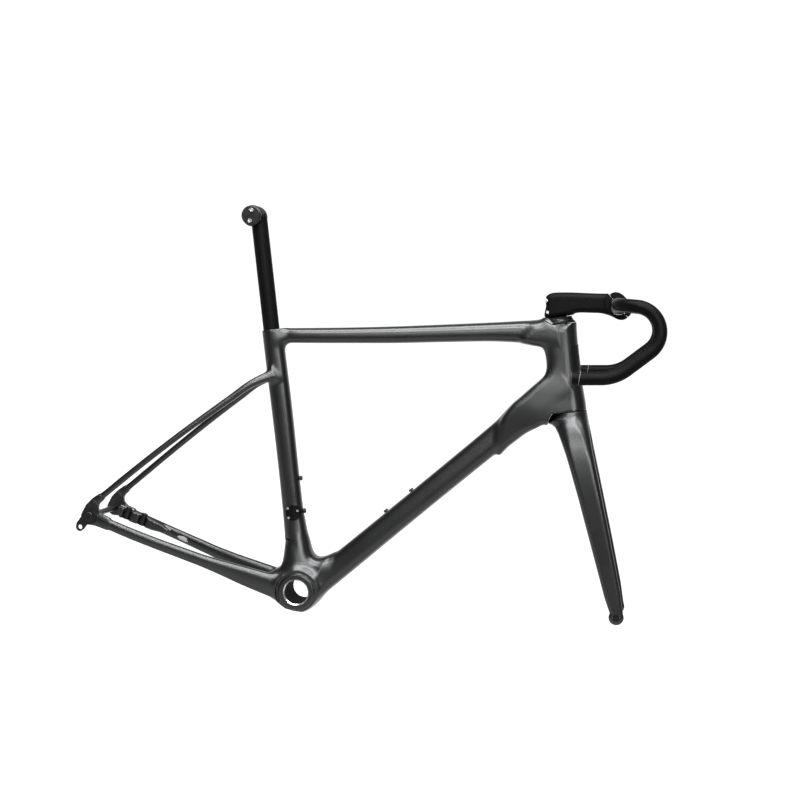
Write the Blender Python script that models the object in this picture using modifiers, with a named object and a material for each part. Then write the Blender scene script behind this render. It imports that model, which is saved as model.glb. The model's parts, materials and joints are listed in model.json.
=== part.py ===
"""A carbon road frameset with its fork, cockpit and seatpost, as separate parts.

Metres, +X forward, +Y to the rider's left, +Z up. The origin is the centre of the bottom bracket.
Sections of the tubes lie on a centreline; neighbours are mitred onto each other with a small gap.
"""

import math

import bmesh
import bpy
from mathutils import Matrix, Vector

GAP = 0.0003
WALL = 0.0018

# Frame geometry
SEAT_ANGLE = math.radians(74.0)
HEAD_ANGLE = math.radians(73.5)
AXLE_HEIGHT = 0.075
REAR_AXLE_X = -0.4184
FRONT_AXLE_X = 0.6075
FORK_OFFSET = 0.045
AXLE_TO_CROWN = 0.388
REAR_SPACING = 0.142
FRONT_SPACING = 0.100
DROPOUT_THICKNESS = 0.010

# Bottom bracket
BB_WIDTH = 0.0865
BB_BARREL_RADIUS = 0.0385
BB_FACE_RADIUS = 0.0350
BB_SLEEVE_RADIUS = 0.0258
BB_BORE_RADIUS = 0.0230

# Head tube and headset, as heights above the crown along the steering axis
HEAD_LENGTH = 0.1647
HEAD_END_RADIUS = 0.0322
HEAD_WAIST_RADIUS = 0.0303
BEARING_RADIUS = 0.0260
BEARING_HEIGHT = 0.0080
STEERER_RADIUS = 0.0143
STEERER_BASE_RADIUS = 0.0198
COLLAR_BASE = HEAD_LENGTH + 0.0017
STEM_BASE = 0.1793
STEM_TOP = 0.2245
CROWN_CLEARANCE = 0.0010

# Seat tube and seatpost, as distances from the bottom bracket along the seat tube
POST_RADIUS = 0.0158
POST_BOTTOM = 0.300
POST_HEAD_TOP = 0.7300
SEAT_TUBE_TOP = 0.520
SEAT_EYE = Vector((-0.2093, 0.0, 0.6994))
EYE_RADIUS = 0.0205
EYE_HALF_WIDTH = 0.0175
CLAMP_RADIUS = 0.0155
RAIL_RADIUS = 0.0035
RAIL_HALF_SPACING = 0.022
EAR_THICKNESS = 0.0105

# Cockpit
BAR_CENTRE = Vector((0.510, 0.0, 0.645))
BAR_CLAMP_RADIUS = 0.0159
BAR_GRIP_RADIUS = 0.0119
BAR_SHOULDER = 0.150
DROP_HALF_WIDTH = 0.205
HOOK_CENTRE = (0.548, 0.604)
HOOK_RADIUS = 0.0450
HOOK_END = math.radians(-43.0)
BAR_END_X = 0.456
SPLIT_ANGLE = math.radians(48.5)

AXLE_RADIUS = 0.0060
AXLE_BORE_RADIUS = 0.0063
BOTTLE_SPACING = 0.064

for old in list(bpy.data.objects):
    bpy.data.objects.remove(old, do_unlink=True)

PARTS = bpy.data.collections.new("road_frameset")
CUTTERS = bpy.data.collections.new("cutters")
for collection in (PARTS, CUTTERS):
    bpy.context.scene.collection.children.link(collection)


def material(name, colour, metallic, roughness):
    made = bpy.data.materials.new(name)
    made.use_nodes = True
    shader = made.node_tree.nodes["Principled BSDF"]
    shader.inputs["Base Color"].default_value = (*colour, 1.0)
    shader.inputs["Metallic"].default_value = metallic
    shader.inputs["Roughness"].default_value = roughness
    return made


PAINT = material("satin_charcoal_paint", (0.075, 0.077, 0.080), 0.3, 0.35)
CARBON = material("matte_carbon", (0.020, 0.020, 0.021), 0.0, 0.45)
BLACK_ALLOY = material("black_anodised_alloy", (0.018, 0.018, 0.019), 0.8, 0.35)
STEEL = material("bright_steel", (0.62, 0.62, 0.63), 1.0, 0.25)
RUBBER = material("black_rubber", (0.025, 0.025, 0.025), 0.0, 0.70)


# Places

def seat_point(distance, forward=0.0, side=0.0):
    """A point by its distance up the seat tube's axis, and how far in front of that axis it is."""
    up = Vector((-math.cos(SEAT_ANGLE), 0.0, math.sin(SEAT_ANGLE)))
    ahead = Vector((math.sin(SEAT_ANGLE), 0.0, math.cos(SEAT_ANGLE)))
    return up * distance + ahead * forward + Vector((0.0, side, 0.0))


HEAD_UP = Vector((-math.cos(HEAD_ANGLE), 0.0, math.sin(HEAD_ANGLE)))
HEAD_AHEAD = Vector((math.sin(HEAD_ANGLE), 0.0, math.cos(HEAD_ANGLE)))
FRONT_AXLE = Vector((FRONT_AXLE_X, 0.0, AXLE_HEIGHT))
REAR_AXLE = Vector((REAR_AXLE_X, 0.0, AXLE_HEIGHT))
CROWN = FRONT_AXLE - HEAD_AHEAD * FORK_OFFSET + HEAD_UP * AXLE_TO_CROWN


def head_point(height, forward=0.0, side=0.0):
    """A point by its height above the fork crown along the steering axis."""
    return CROWN + HEAD_UP * height + HEAD_AHEAD * forward + Vector((0.0, side, 0.0))


SPLIT_NORMAL = Vector((math.cos(SPLIT_ANGLE), 0.0, math.sin(SPLIT_ANGLE)))
SPLIT_ALONG = Vector((-math.sin(SPLIT_ANGLE), 0.0, math.cos(SPLIT_ANGLE)))


def clamp_point(along, out, side=0.0):
    """A point of the bar clamp: along its split line, and out from it towards the faceplate."""
    return BAR_CENTRE + SPLIT_ALONG * along + SPLIT_NORMAL * out + Vector((0.0, side, 0.0))


SIDE = Vector((0.0, 1.0, 0.0))


# Making solids

def finish(obj, look, collection=PARTS):
    """Put an object in its collection with its material, shaded smooth up to its sharp edges."""
    collection.objects.link(obj)
    obj.data.materials.append(look)
    obj.data.shade_smooth()
    obj.data.set_sharp_from_angle(angle=math.radians(35.0))
    if collection is CUTTERS:
        obj.hide_render = True
        obj.display_type = "WIRE"
    return obj


def object_from(name, bm, look, collection):
    bmesh.ops.recalc_face_normals(bm, faces=bm.faces)
    mesh = bpy.data.meshes.new(name)
    bm.to_mesh(mesh)
    bm.free()
    return finish(bpy.data.objects.new(name, mesh), look, collection)


def power_ring(centre, across, up, half_width, half_height, power, sides):
    """A superellipse: power 2 is an ellipse, and more is squarer."""
    ring = []
    for i in range(sides):
        angle = 2.0 * math.pi * i / sides
        c, s = math.cos(angle), math.sin(angle)
        x = math.copysign(abs(c) ** (2.0 / power), c) * half_width
        z = math.copysign(abs(s) ** (2.0 / power), s) * half_height
        ring.append(centre + across * x + up * z)
    return ring


def path_frames(points, reference, axis):
    """The side and up vectors of a ring at each point of a path; an axis keeps the rings parallel."""
    frames = []
    across = reference
    for i in range(len(points)):
        before = points[max(i - 1, 0)]
        after = points[min(i + 1, len(points) - 1)]
        tangent = (axis or after - before).normalized()
        across = (across - tangent * across.dot(tangent)).normalized()
        frames.append((across, tangent.cross(across) * -1.0))
    return frames


def loft(
    name, stations, look, sides=18, wall=None, grow=0.0, reference=SIDE, axis=None, collection=PARTS
):
    """A tube through stations of (centre, half height, half width, power); wall makes it open-ended."""
    centres = [Vector(s[0]) for s in stations]
    frames = path_frames(centres, reference, axis)
    bm = bmesh.new()

    def skin(change):
        rings = []
        for (across, up), centre, station in zip(frames, centres, stations):
            ring = power_ring(
                centre, across, up, station[2] + change, station[1] + change, station[3], sides
            )
            rings.append([bm.verts.new(p) for p in ring])
        for low, high in zip(rings, rings[1:]):
            for i in range(sides):
                j = (i + 1) % sides
                bm.faces.new((low[i], low[j], high[j], high[i]))
        return rings

    outer = skin(grow)
    if wall is None:
        bm.faces.new(outer[0])
        bm.faces.new(outer[-1])
    else:
        inner = skin(grow - wall)
        for a, b in ((outer[0], inner[0]), (outer[-1], inner[-1])):
            for i in range(sides):
                j = (i + 1) % sides
                bm.faces.new((a[i], a[j], b[j], b[i]))
    return object_from(name, bm, look, collection)


def aim(location, axis):
    """The placement that carries local +Z onto an axis, at a location."""
    turn = Vector((0.0, 0.0, 1.0)).rotation_difference(Vector(axis).normalized())
    return Matrix.LocRotScale(Vector(location), turn, None)


def turned(name, profile, base, axis, look, closed=False, steps=28, collection=PARTS):
    """A body of revolution: (radius, height) pairs from the top down its outer side."""
    mesh = bpy.data.meshes.new(name)
    edges = [(i, i + 1) for i in range(len(profile) - 1)]
    if closed:
        edges.append((len(profile) - 1, 0))
    mesh.from_pydata([(r, 0.0, z) for r, z in profile], edges, [])
    obj = finish(bpy.data.objects.new(name, mesh), look, collection)
    obj.matrix_world = aim(base, axis)
    screw = obj.modifiers.new("turn", "SCREW")
    screw.steps = steps
    screw.render_steps = steps
    screw.use_merge_vertices = True
    screw.merge_threshold = 0.00001
    return obj


def sleeve(name, outer, inner, low, high, base, axis, look, steps=28, collection=PARTS):
    """A plain ring between two radii and two heights."""
    profile = [(outer, high), (outer, low), (inner, low), (inner, high)]
    return turned(name, profile, base, axis, look, True, steps, collection)


def rod(name, radius, low, high, base, axis, look, steps=24, collection=PARTS):
    """A plain solid cylinder between two heights."""
    bm = bmesh.new()
    bmesh.ops.create_cone(
        bm, cap_ends=True, segments=steps, radius1=radius, radius2=radius, depth=high - low
    )
    bmesh.ops.translate(bm, vec=(0.0, 0.0, (low + high) / 2.0), verts=bm.verts)
    obj = object_from(name, bm, look, collection)
    obj.matrix_world = aim(base, axis)
    return obj


def block(name, size, centre, axis, look, collection=PARTS):
    """A box of a size (x, y, z) whose local Z lies along an axis."""
    bm = bmesh.new()
    bmesh.ops.create_cube(bm, size=1.0)
    bmesh.ops.scale(bm, vec=size, verts=bm.verts)
    obj = object_from(name, bm, look, collection)
    obj.matrix_world = aim(centre, axis)
    return obj


def plate(name, outline, low, high, look, collection=PARTS):
    """A side-view outline of (x, z) points, as a solid between two sideways positions."""
    curve = bpy.data.curves.new(name, "CURVE")
    curve.dimensions = "2D"
    curve.fill_mode = "BOTH"
    curve.extrude = (high - low) / 2.0
    spline = curve.splines.new("POLY")
    spline.points.add(len(outline) - 1)
    for point, (x, z) in zip(spline.points, outline):
        point.co = (x, z, 0.0, 1.0)
    spline.use_cyclic_u = True
    drawn = bpy.data.objects.new(name, curve)
    bpy.context.scene.collection.objects.link(drawn)
    bpy.context.view_layer.update()
    mesh = bpy.data.meshes.new_from_object(
        drawn.evaluated_get(bpy.context.evaluated_depsgraph_get())
    )
    bpy.data.objects.remove(drawn)
    bm = bmesh.new()
    bm.from_mesh(mesh)
    bmesh.ops.remove_doubles(bm, verts=bm.verts, dist=0.00001)
    stand = Matrix.Translation((0.0, (low + high) / 2.0, 0.0)) @ Matrix.Rotation(math.pi / 2, 4, "X")
    bmesh.ops.transform(bm, matrix=stand, verts=bm.verts)
    return object_from(name, bm, look, collection)


def combine(obj, other, operation="DIFFERENCE"):
    """Cut, join or intersect an object with a cutter."""
    change = obj.modifiers.new(other.name, "BOOLEAN")
    change.operation = operation
    change.solver = "EXACT"
    change.object = other


def drill(targets, name, radius, low, high, base, axis, steps=16):
    hole = rod(name, radius, low, high, base, axis, CARBON, steps, CUTTERS)
    for target in targets:
        combine(target, hole)


def screw_head(name, base, axis, look, head_radius, head_height, shank_radius, shank_length):
    """A cap screw standing on a base point, with a round socket in its head."""
    socket = head_radius * 0.55
    profile = [
        (0.0, head_height * 0.35),
        (socket, head_height * 0.35),
        (socket, head_height),
        (head_radius * 0.85, head_height),
        (head_radius, head_height * 0.75),
        (head_radius, 0.0),
        (shank_radius, 0.0),
        (shank_radius, -shank_length),
        (0.0, -shank_length),
    ]
    return turned(name, profile, base, axis, look, steps=12)


def arc(centre, radius, start, end, count):
    """Points of a round stretch in a flat outline."""
    points = []
    for i in range(count):
        angle = start + (end - start) * i / (count - 1)
        points.append((centre[0] + radius * math.cos(angle), centre[1] + radius * math.sin(angle)))
    return points


# Head tube, and the shapes that its neighbours are mitred with

def head_profile(grow=0.0):
    return [
        (HEAD_END_RADIUS + grow, HEAD_LENGTH + grow),
        (HEAD_WAIST_RADIUS + 0.0004 + grow, HEAD_LENGTH * 0.82),
        (HEAD_WAIST_RADIUS + grow, HEAD_LENGTH * 0.55),
        (HEAD_WAIST_RADIUS + 0.0003 + grow, HEAD_LENGTH * 0.28),
        (HEAD_END_RADIUS + grow, 0.0),
    ]


def head_tube():
    seat = BEARING_RADIUS + GAP
    bore = BEARING_RADIUS - 0.0022
    inside = [
        (seat, 0.0),
        (seat, BEARING_HEIGHT + GAP),
        (bore, BEARING_HEIGHT + GAP),
        (bore, HEAD_LENGTH - BEARING_HEIGHT - GAP),
        (seat, HEAD_LENGTH - BEARING_HEIGHT - GAP),
        (seat, HEAD_LENGTH),
    ]
    return turned("head_tube", head_profile() + inside, CROWN, HEAD_UP, PAINT, closed=True)


def solid_head(grow):
    below = [(HEAD_END_RADIUS + grow, -0.0010), (0.0, -0.0010)]
    ends = [(0.0, HEAD_LENGTH + grow)] + head_profile(grow) + below
    return turned("head_mitre", ends, CROWN, HEAD_UP, PAINT, collection=CUTTERS)


# Bottom bracket

def barrel_profile(grow=0.0):
    half = BB_WIDTH / 2.0
    step = half - 0.0065
    return [
        (BB_FACE_RADIUS + grow, half + grow),
        (BB_FACE_RADIUS + grow, step),
        (BB_BARREL_RADIUS + grow, step - 0.002),
        (BB_BARREL_RADIUS + grow, 0.002 - step),
        (BB_FACE_RADIUS + grow, -step),
        (BB_FACE_RADIUS + grow, -half - grow),
    ]


def bottom_bracket():
    half = BB_WIDTH / 2.0
    bore = BB_SLEEVE_RADIUS + GAP
    turned(
        "bb_shell", barrel_profile() + [(bore, -half), (bore, half)], (0, 0, 0), SIDE, PAINT, True, 36
    )
    lip = 0.0022
    reach = half - 0.0004
    profile = [
        (BB_SLEEVE_RADIUS, reach),
        (BB_SLEEVE_RADIUS, -reach),
        (BB_BORE_RADIUS + lip, -reach),
        (BB_BORE_RADIUS, lip - reach),
        (BB_BORE_RADIUS, reach - lip),
        (BB_BORE_RADIUS + lip, reach),
    ]
    turned("bb_sleeve", profile, (0, 0, 0), SIDE, STEEL, True, 36)
    ends = [(0.0, half + GAP)] + barrel_profile(GAP) + [(0.0, -half - GAP)]
    return turned("barrel_mitre", ends, (0, 0, 0), SIDE, PAINT, steps=36, collection=CUTTERS)


# Centrelines of the tubes: (centre, half height, half width, power)

DOWN_TUBE = [
    ((0.0050, 0, -0.0146), 0.0240, 0.0330, 2.6),
    ((0.0600, 0, 0.0497), 0.0242, 0.0310, 2.7),
    ((0.1500, 0, 0.1550), 0.0234, 0.0290, 2.7),
    ((0.2500, 0, 0.2720), 0.0233, 0.0272, 2.7),
    ((0.3200, 0, 0.3539), 0.0245, 0.0265, 2.6),
    ((0.3700, 0, 0.4130), 0.0290, 0.0265, 2.5),
    ((0.4050, 0, 0.4530), 0.0350, 0.0268, 2.4),
    ((0.4400, 0, 0.4900), 0.0360, 0.0270, 2.3),
]
TOP_TUBE = [
    ((-0.1300, 0, 0.4790), 0.0143, 0.0155, 2.5),
    ((-0.0600, 0, 0.4910), 0.0148, 0.0160, 2.6),
    ((0.0200, 0, 0.5052), 0.0153, 0.0170, 2.7),
    ((0.1000, 0, 0.5200), 0.0162, 0.0182, 2.7),
    ((0.2000, 0, 0.5402), 0.0170, 0.0197, 2.7),
    ((0.3000, 0, 0.5600), 0.0188, 0.0212, 2.7),
    ((0.3600, 0, 0.5700), 0.0215, 0.0225, 2.6),
    ((0.4050, 0, 0.5765), 0.0235, 0.0240, 2.5),
]
SEAT_TUBE = [
    (seat_point(0.012, 0.0020), 0.0280, 0.0345, 2.4),
    (seat_point(0.050, 0.0025), 0.0268, 0.0310, 2.4),
    (seat_point(0.090, 0.0040), 0.0230, 0.0250, 2.4),
    (seat_point(0.120, 0.0036), 0.0216, 0.0215, 2.4),
    (seat_point(0.156, 0.0027), 0.0200, 0.0193, 2.3),
    (seat_point(0.200, 0.0028), 0.0195, 0.0188, 2.3),
    (seat_point(0.385, 0.0028), 0.0200, 0.0188, 2.3),
    (seat_point(0.450, 0.0020), 0.0199, 0.0188, 2.3),
    (seat_point(SEAT_TUBE_TOP, 0.0018), 0.0200, 0.0190, 2.3),
]


def chainstay_line(side):
    """From the dropout to the bottom bracket; side is -1 on the drive side."""
    return [
        ((-0.3822, side * 0.0762, 0.0671), 0.0106, 0.0070, 2.5),
        ((-0.3400, side * 0.0738, 0.0578), 0.0106, 0.0075, 2.5),
        ((-0.2813, side * 0.0680, 0.0457), 0.0107, 0.0080, 2.5),
        ((-0.2300, side * 0.0605, 0.0358), 0.0113, 0.0084, 2.6),
        ((-0.1868, side * 0.0535, 0.0273), 0.0121, 0.0088, 2.6),
        ((-0.1450, side * 0.0465, 0.0192), 0.0150, 0.0095, 2.7),
        ((-0.1103, side * 0.0420, 0.0125), 0.0182, 0.0105, 2.7),
        ((-0.0711, side * 0.0385, 0.0058), 0.0210, 0.0120, 2.7),
        ((-0.0200, side * 0.0330, -0.0020), 0.0245, 0.0145, 2.6),
    ]


def seatstay_line(side):
    """From the dropout up to the side of the seat tube."""
    return [
        ((-0.4018, side * 0.0758, 0.1162), 0.0064, 0.0062, 2.4),
        ((-0.3650, side * 0.0738, 0.1580), 0.0060, 0.0062, 2.4),
        ((-0.3290, side * 0.0695, 0.1985), 0.0059, 0.0064, 2.4),
        ((-0.2800, side * 0.0610, 0.2520), 0.0060, 0.0068, 2.4),
        ((-0.2350, side * 0.0500, 0.2995), 0.0062, 0.0072, 2.4),
        ((-0.1890, side * 0.0375, 0.3470), 0.0067, 0.0076, 2.4),
        ((-0.1540, side * 0.0270, 0.3830), 0.0074, 0.0080, 2.4),
        ((-0.1200, side * 0.0180, 0.4130), 0.0090, 0.0085, 2.4),
    ]


DROPOUT_OUTLINE = [
    (-0.3853, 0.0566),
    (-0.4040, 0.0595),
    *arc((REAR_AXLE_X, AXLE_HEIGHT), 0.0170, math.radians(-100), math.radians(-205), 8),
    (-0.4290, 0.0960),
    (-0.4200, 0.1085),
    (-0.4076, 0.1198),
    (-0.3978, 0.1111),
    (-0.4030, 0.1040),
    (-0.4045, 0.0970),
    (-0.4020, 0.0895),
    (-0.3950, 0.0832),
    (-0.3812, 0.0781),
]


def fork_leg_line(side):
    """From inside the crown down to the tip."""
    return [
        ((0.4660, side * 0.0330, 0.4120), 0.0290, 0.0130, 2.6),
        ((0.4780, side * 0.0385, 0.3840), 0.0282, 0.0138, 2.7),
        ((0.4902, side * 0.0425, 0.3548), 0.0255, 0.0130, 2.7),
        ((0.5123, side * 0.0468, 0.3057), 0.0232, 0.0115, 2.7),
        ((0.5535, side * 0.0512, 0.2075), 0.0196, 0.0098, 2.7),
        ((0.5850, side * 0.0545, 0.1330), 0.0167, 0.0086, 2.7),
        ((0.6015, side * 0.0565, 0.0905), 0.0152, 0.0078, 2.6),
    ]


CROWN_LINE = [
    (head_point(-CROWN_CLEARANCE), 0.0321, 0.0321, 2.0),
    (head_point(-0.0040, -0.0005), 0.0352, 0.0352, 2.0),
    (head_point(-0.0100, -0.0025), 0.0370, 0.0380, 2.0),
    (head_point(-0.0170, -0.0036), 0.0386, 0.0415, 2.1),
    (head_point(-0.0210, -0.0016), 0.0369, 0.0435, 2.2),
    (head_point(-0.0260, 0.0010), 0.0340, 0.0460, 2.4),
    (head_point(-0.0360, 0.0026), 0.0318, 0.0512, 2.6),
]
CROWN_ROOM = [
    (0.0, 0.0010),
    (0.0333, 0.0010),
    (0.0338, -0.0005),
    (0.0372, -0.0040),
    (0.0418, -0.0100),
    (0.0450, -0.0170),
    (0.0456, -0.0210),
    (0.0480, -0.0260),
    (0.0535, -0.0360),
    (0.0600, -0.0600),
    (0.0, -0.0600),
]


# The frame's tubes

def add_frame_tubes(head_mitre, barrel):
    top = loft("top_tube", TOP_TUBE, PAINT, wall=WALL)
    down = loft("down_tube", DOWN_TUBE, PAINT, 20, wall=WALL)
    seat = loft("seat_tube", SEAT_TUBE, PAINT, 20)
    seat_mitre = loft("seat_mitre", SEAT_TUBE, PAINT, 20, grow=GAP, collection=CUTTERS)
    down_mitre = loft("down_mitre", DOWN_TUBE, PAINT, 20, grow=GAP, collection=CUTTERS)
    for cutter in (head_mitre, barrel):
        combine(down, cutter)
    for cutter in (down_mitre, barrel):
        combine(seat, cutter)
    for cutter in (head_mitre, seat_mitre):
        combine(top, cutter)
    combine(down, turned("crown_room", CROWN_ROOM, CROWN, HEAD_UP, PAINT, collection=CUTTERS))

    bore = [
        (0.0, 0.600),
        (POST_RADIUS + GAP, 0.600),
        (POST_RADIUS + GAP, POST_BOTTOM - 0.075),
        (POST_RADIUS - 0.002, POST_BOTTOM - 0.078),
        (POST_RADIUS - 0.002, 0.060),
        (0.0, 0.060),
    ]
    up = seat_point(1.0)
    combine(seat, turned("post_bore", bore, (0, 0, 0), up, PAINT, collection=CUTTERS))
    lid = block(
        "seat_tube_lid", (0.12, 0.12, 0.06), (-0.1375, 0, 0.5195), (-0.21, 0, 1), PAINT, CUTTERS
    )
    for tube in (seat, top):
        combine(tube, lid)
    return seat, top, down, seat_mitre


def add_stays(side, word, barrel, seat_mitre):
    chainstay = loft("chainstay_" + word, chainstay_line(side), PAINT, 14, wall=WALL)
    seatstay = loft("seatstay_" + word, seatstay_line(side), PAINT, 12, wall=WALL)
    combine(chainstay, barrel)
    combine(chainstay, seat_mitre)
    combine(seatstay, seat_mitre)
    inner = side * REAR_SPACING / 2.0
    outer = inner + side * DROPOUT_THICKNESS
    dropout = plate(
        "dropout_" + word, DROPOUT_OUTLINE, min(inner, outer), max(inner, outer), PAINT
    )
    drill([dropout], "rear_axle_bore_" + word, AXLE_BORE_RADIUS, -0.1, 0.1, REAR_AXLE, SIDE, 24)


# Small pieces of the frame

def add_hanger():
    """The derailleur hanger: a disc on the drive-side dropout, with a tab and a bolt hole."""
    face = -REAR_SPACING / 2.0 - DROPOUT_THICKNESS - GAP
    hole = (-0.4318, 0.0524)
    outline = [
        *arc((REAR_AXLE_X, AXLE_HEIGHT), 0.0150, math.radians(-45), math.radians(190), 14),
        (-0.4400, 0.0590),
        *arc(hole, 0.0085, math.radians(175), math.radians(290), 5),
        (-0.4235, 0.0500),
        (-0.4190, 0.0590),
    ]
    hanger = plate("derailleur_hanger", outline, face - 0.0045, face, BLACK_ALLOY)
    drill(
        [hanger], "hanger_hole", 0.0044, -0.01, 0.01, (hole[0], face - 0.002, hole[1]), SIDE, 16
    )
    drill([hanger], "hanger_bore", 0.0066, -0.01, 0.01, (REAR_AXLE_X, face, AXLE_HEIGHT), SIDE, 24)
    outward = (0, -1, 0)
    profile = [
        (0.0, 0.0009),
        (0.0035, 0.0009),
        (0.0035, 0.0022),
        (0.0085, 0.0022),
        (0.0095, 0.0012),
        (0.0095, 0.0),
        (0.0062, 0.0),
        (0.0062, -0.0030),
        (0.0, -0.0030),
    ]
    base = (REAR_AXLE_X, face - 0.0045 - GAP, AXLE_HEIGHT)
    turned("hanger_bolt", profile, base, outward, BLACK_ALLOY, steps=24)


def add_brake_posts(left_stay_mitre):
    """Two flat-mount posts on the inside of the left chainstay, 34 mm apart."""
    for word, x, z in (("rear", -0.3880, 0.0690), ("front", -0.3540, 0.0622)):
        axis = Vector((0.19, 0.0, 0.98)).normalized()
        centre = Vector((x, 0.0625, z))
        post = rod("brake_post_" + word, 0.0060, -0.0115, 0.0135, centre, axis, BLACK_ALLOY, 20)
        combine(post, left_stay_mitre)
        drill([post], "brake_hole_" + word, 0.0026, -0.02, 0.02, centre, axis, 12)


def add_hose_grommet(left_stay_mitre):
    """The rubber lip where the brake hose leaves the left chainstay."""
    base = Vector((-0.2580, 0.0580, 0.0400))
    across = Vector((0.10, -1.0, 0.10)).normalized()
    along = Vector((0.98, 0.12, -0.19)).normalized()
    outline = [
        (base - across * 0.004, 0.0048, 0.0190, 2.0),
        (base + across * 0.0005, 0.0048, 0.0190, 2.0),
        (base + across * 0.0025, 0.0036, 0.0165, 2.0),
    ]
    grommet = loft("hose_grommet", outline, RUBBER, 20, reference=along)
    combine(grommet, left_stay_mitre)


def add_front_mech_mount(seat_mitre):
    """A curved cover over the front derailleur mount, held by three screws."""
    centre = Vector((-0.0350, 0.0, 0.1472))
    cover = loft(
        "fd_mount_cover", SEAT_TUBE, BLACK_ALLOY, 28, grow=0.0021
    )
    edge = turned(
        "cover_edge",
        [(0.0, 0.040), (0.0150, 0.040), (0.0150, 0.0), (0.0, 0.0)],
        centre,
        (0, -1, 0),
        CARBON,
        steps=32,
        collection=CUTTERS,
    )
    combine(cover, edge, "INTERSECT")
    combine(cover, seat_mitre)
    for i, (x, z, depth) in enumerate(
        ((-0.0469, 0.1542, 0.0188), (-0.0271, 0.1532, 0.0196), (-0.0420, 0.1363, 0.0199))
    ):
        base = Vector((x, -depth, z))
        drill([cover], f"fd_screw_hole_{i + 1}", 0.0027, 0.0, 0.01, base, (0, -1, 0), 14)
        top = base + Vector((0, -0.0032, 0))
        low = Vector((x, -depth - 0.0003, z))
        rod(f"fd_screw_{i + 1}", 0.0024, 0.0, (low - top).length, low, (0, -1, 0), STEEL, 14)


def add_bottle_bolts(seat, down):
    """Two bottle-cage screws in front of the seat tube and two on top of the down tube."""
    ahead = seat_point(0.0, 1.0)
    for i, distance in enumerate((0.1515, 0.1515 + BOTTLE_SPACING)):
        base = seat_point(distance, 0.0233 + GAP)
        add_bottle_bolt(f"bottle_bolt_{i + 1}", base, ahead, seat)
    start, end = Vector(DOWN_TUBE[2][0]), Vector(DOWN_TUBE[3][0])
    along = (end - start).normalized()
    normal = Vector((-along.z, 0.0, along.x))
    for i, reach in enumerate((0.0145, 0.0145 + BOTTLE_SPACING)):
        base = start + along * reach + normal * (0.0234 + GAP)
        add_bottle_bolt(f"bottle_bolt_{i + 3}", base, normal, down)


def add_bottle_bolt(name, base, axis, tube):
    screw_head(name, base, axis, BLACK_ALLOY, 0.0048, 0.0042, 0.0024, 0.0050)
    drill([tube], name + "_hole", 0.0027, -0.0057, 0.002, base, axis, 12)


def add_seat_wedge(seat):
    """The wedge that grips the post, in a pocket of the seat tube's front wall."""
    up = seat_point(1.0)
    pocket = block(
        "wedge_pocket", (0.0052, 0.0150, 0.0400), seat_point(0.4870, 0.0178), up, CARBON, CUTTERS
    )
    combine(seat, pocket)
    wedge = block(
        "seat_wedge", (0.0046, 0.0140, 0.0250), seat_point(0.4800, 0.0177), up, BLACK_ALLOY
    )
    clear = rod(
        "post_clearance", POST_RADIUS + GAP, 0.40, 0.60, (0, 0, 0), up, CARBON, 32, CUTTERS
    )
    combine(wedge, clear)


def add_headset():
    """Outer rings stay in the head tube; inner rings and the compression ring turn with the fork."""
    ball_gap = 0.0004
    middle = (BEARING_RADIUS + STEERER_BASE_RADIUS) / 2.0
    for word, low in (("lower", 0.0004), ("upper", HEAD_LENGTH - BEARING_HEIGHT + 0.0002)):
        high = low + BEARING_HEIGHT - 0.0006
        sleeve(
            word + "_bearing_outer", BEARING_RADIUS, middle + ball_gap, low, high,
            CROWN, HEAD_UP, STEEL,
        )
        sleeve(
            word + "_bearing_inner", middle, STEERER_BASE_RADIUS + 2 * GAP, low, high,
            CROWN, HEAD_UP, STEEL,
        )
    low = HEAD_LENGTH - BEARING_HEIGHT
    sleeve(
        "compression_ring", STEERER_BASE_RADIUS + GAP, STEERER_RADIUS + GAP, low, COLLAR_BASE - GAP,
        CROWN, HEAD_UP, BLACK_ALLOY,
    )


def collar_profile(grow=0.0):
    return [
        (0.0245 + grow, STEM_BASE - GAP),
        (0.0248 + grow, 0.1765),
        (0.0266 + grow, 0.1722),
        (0.0312 + grow, COLLAR_BASE + 0.0004),
        (0.0312 + grow, COLLAR_BASE - grow),
    ]


def add_headset_cover(top_tube):
    """A painted wedge round the stem's collar: flat on the head tube, with a tail on the top tube."""
    side_view = [
        (0.3738, 0.5990),
        (0.3940, 0.5888),
        (0.4396, 0.6022),
        (0.4390, 0.6028),
        (0.3738, 0.6020),
    ]
    floor = HEAD_LENGTH + GAP
    cover = plate("headset_cover", side_view, -0.034, 0.034, PAINT)
    above = block(
        "above_head_tube", (0.10, 0.16, 0.06), head_point(floor + 0.030, -0.040), HEAD_UP, PAINT, CUTTERS
    )
    plan = [(head_point(h), 0.0330, 0.0322, 2.2) for h in (0.130, 0.200)]
    footprint = loft("cover_footprint", plan, PAINT, 32, axis=HEAD_UP, collection=CUTTERS)
    room = [(0.0, 0.23), (0.0255, 0.23)] + collar_profile(GAP) + [(0.0, COLLAR_BASE - GAP)]
    collar_room = turned("collar_room", room, CROWN, HEAD_UP, PAINT, collection=CUTTERS)
    bore = rod("cover_bore", 0.0206, 0.150, 0.230, CROWN, HEAD_UP, PAINT, 32, CUTTERS)
    combine(cover, above, "INTERSECT")
    combine(cover, footprint, "INTERSECT")
    for piece in (collar_room, bore):
        combine(cover, piece)
    tail_room = plate(
        "tail_room",
        [(0.3735, 0.5990), (0.3938, 0.5883), (0.4450, 0.6040), (0.4450, 0.6400), (0.3735, 0.6400)],
        -0.040, 0.040, PAINT, CUTTERS,
    )
    for piece in (tail_room, collar_room):
        combine(top_tube, piece)


# Fork

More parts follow.
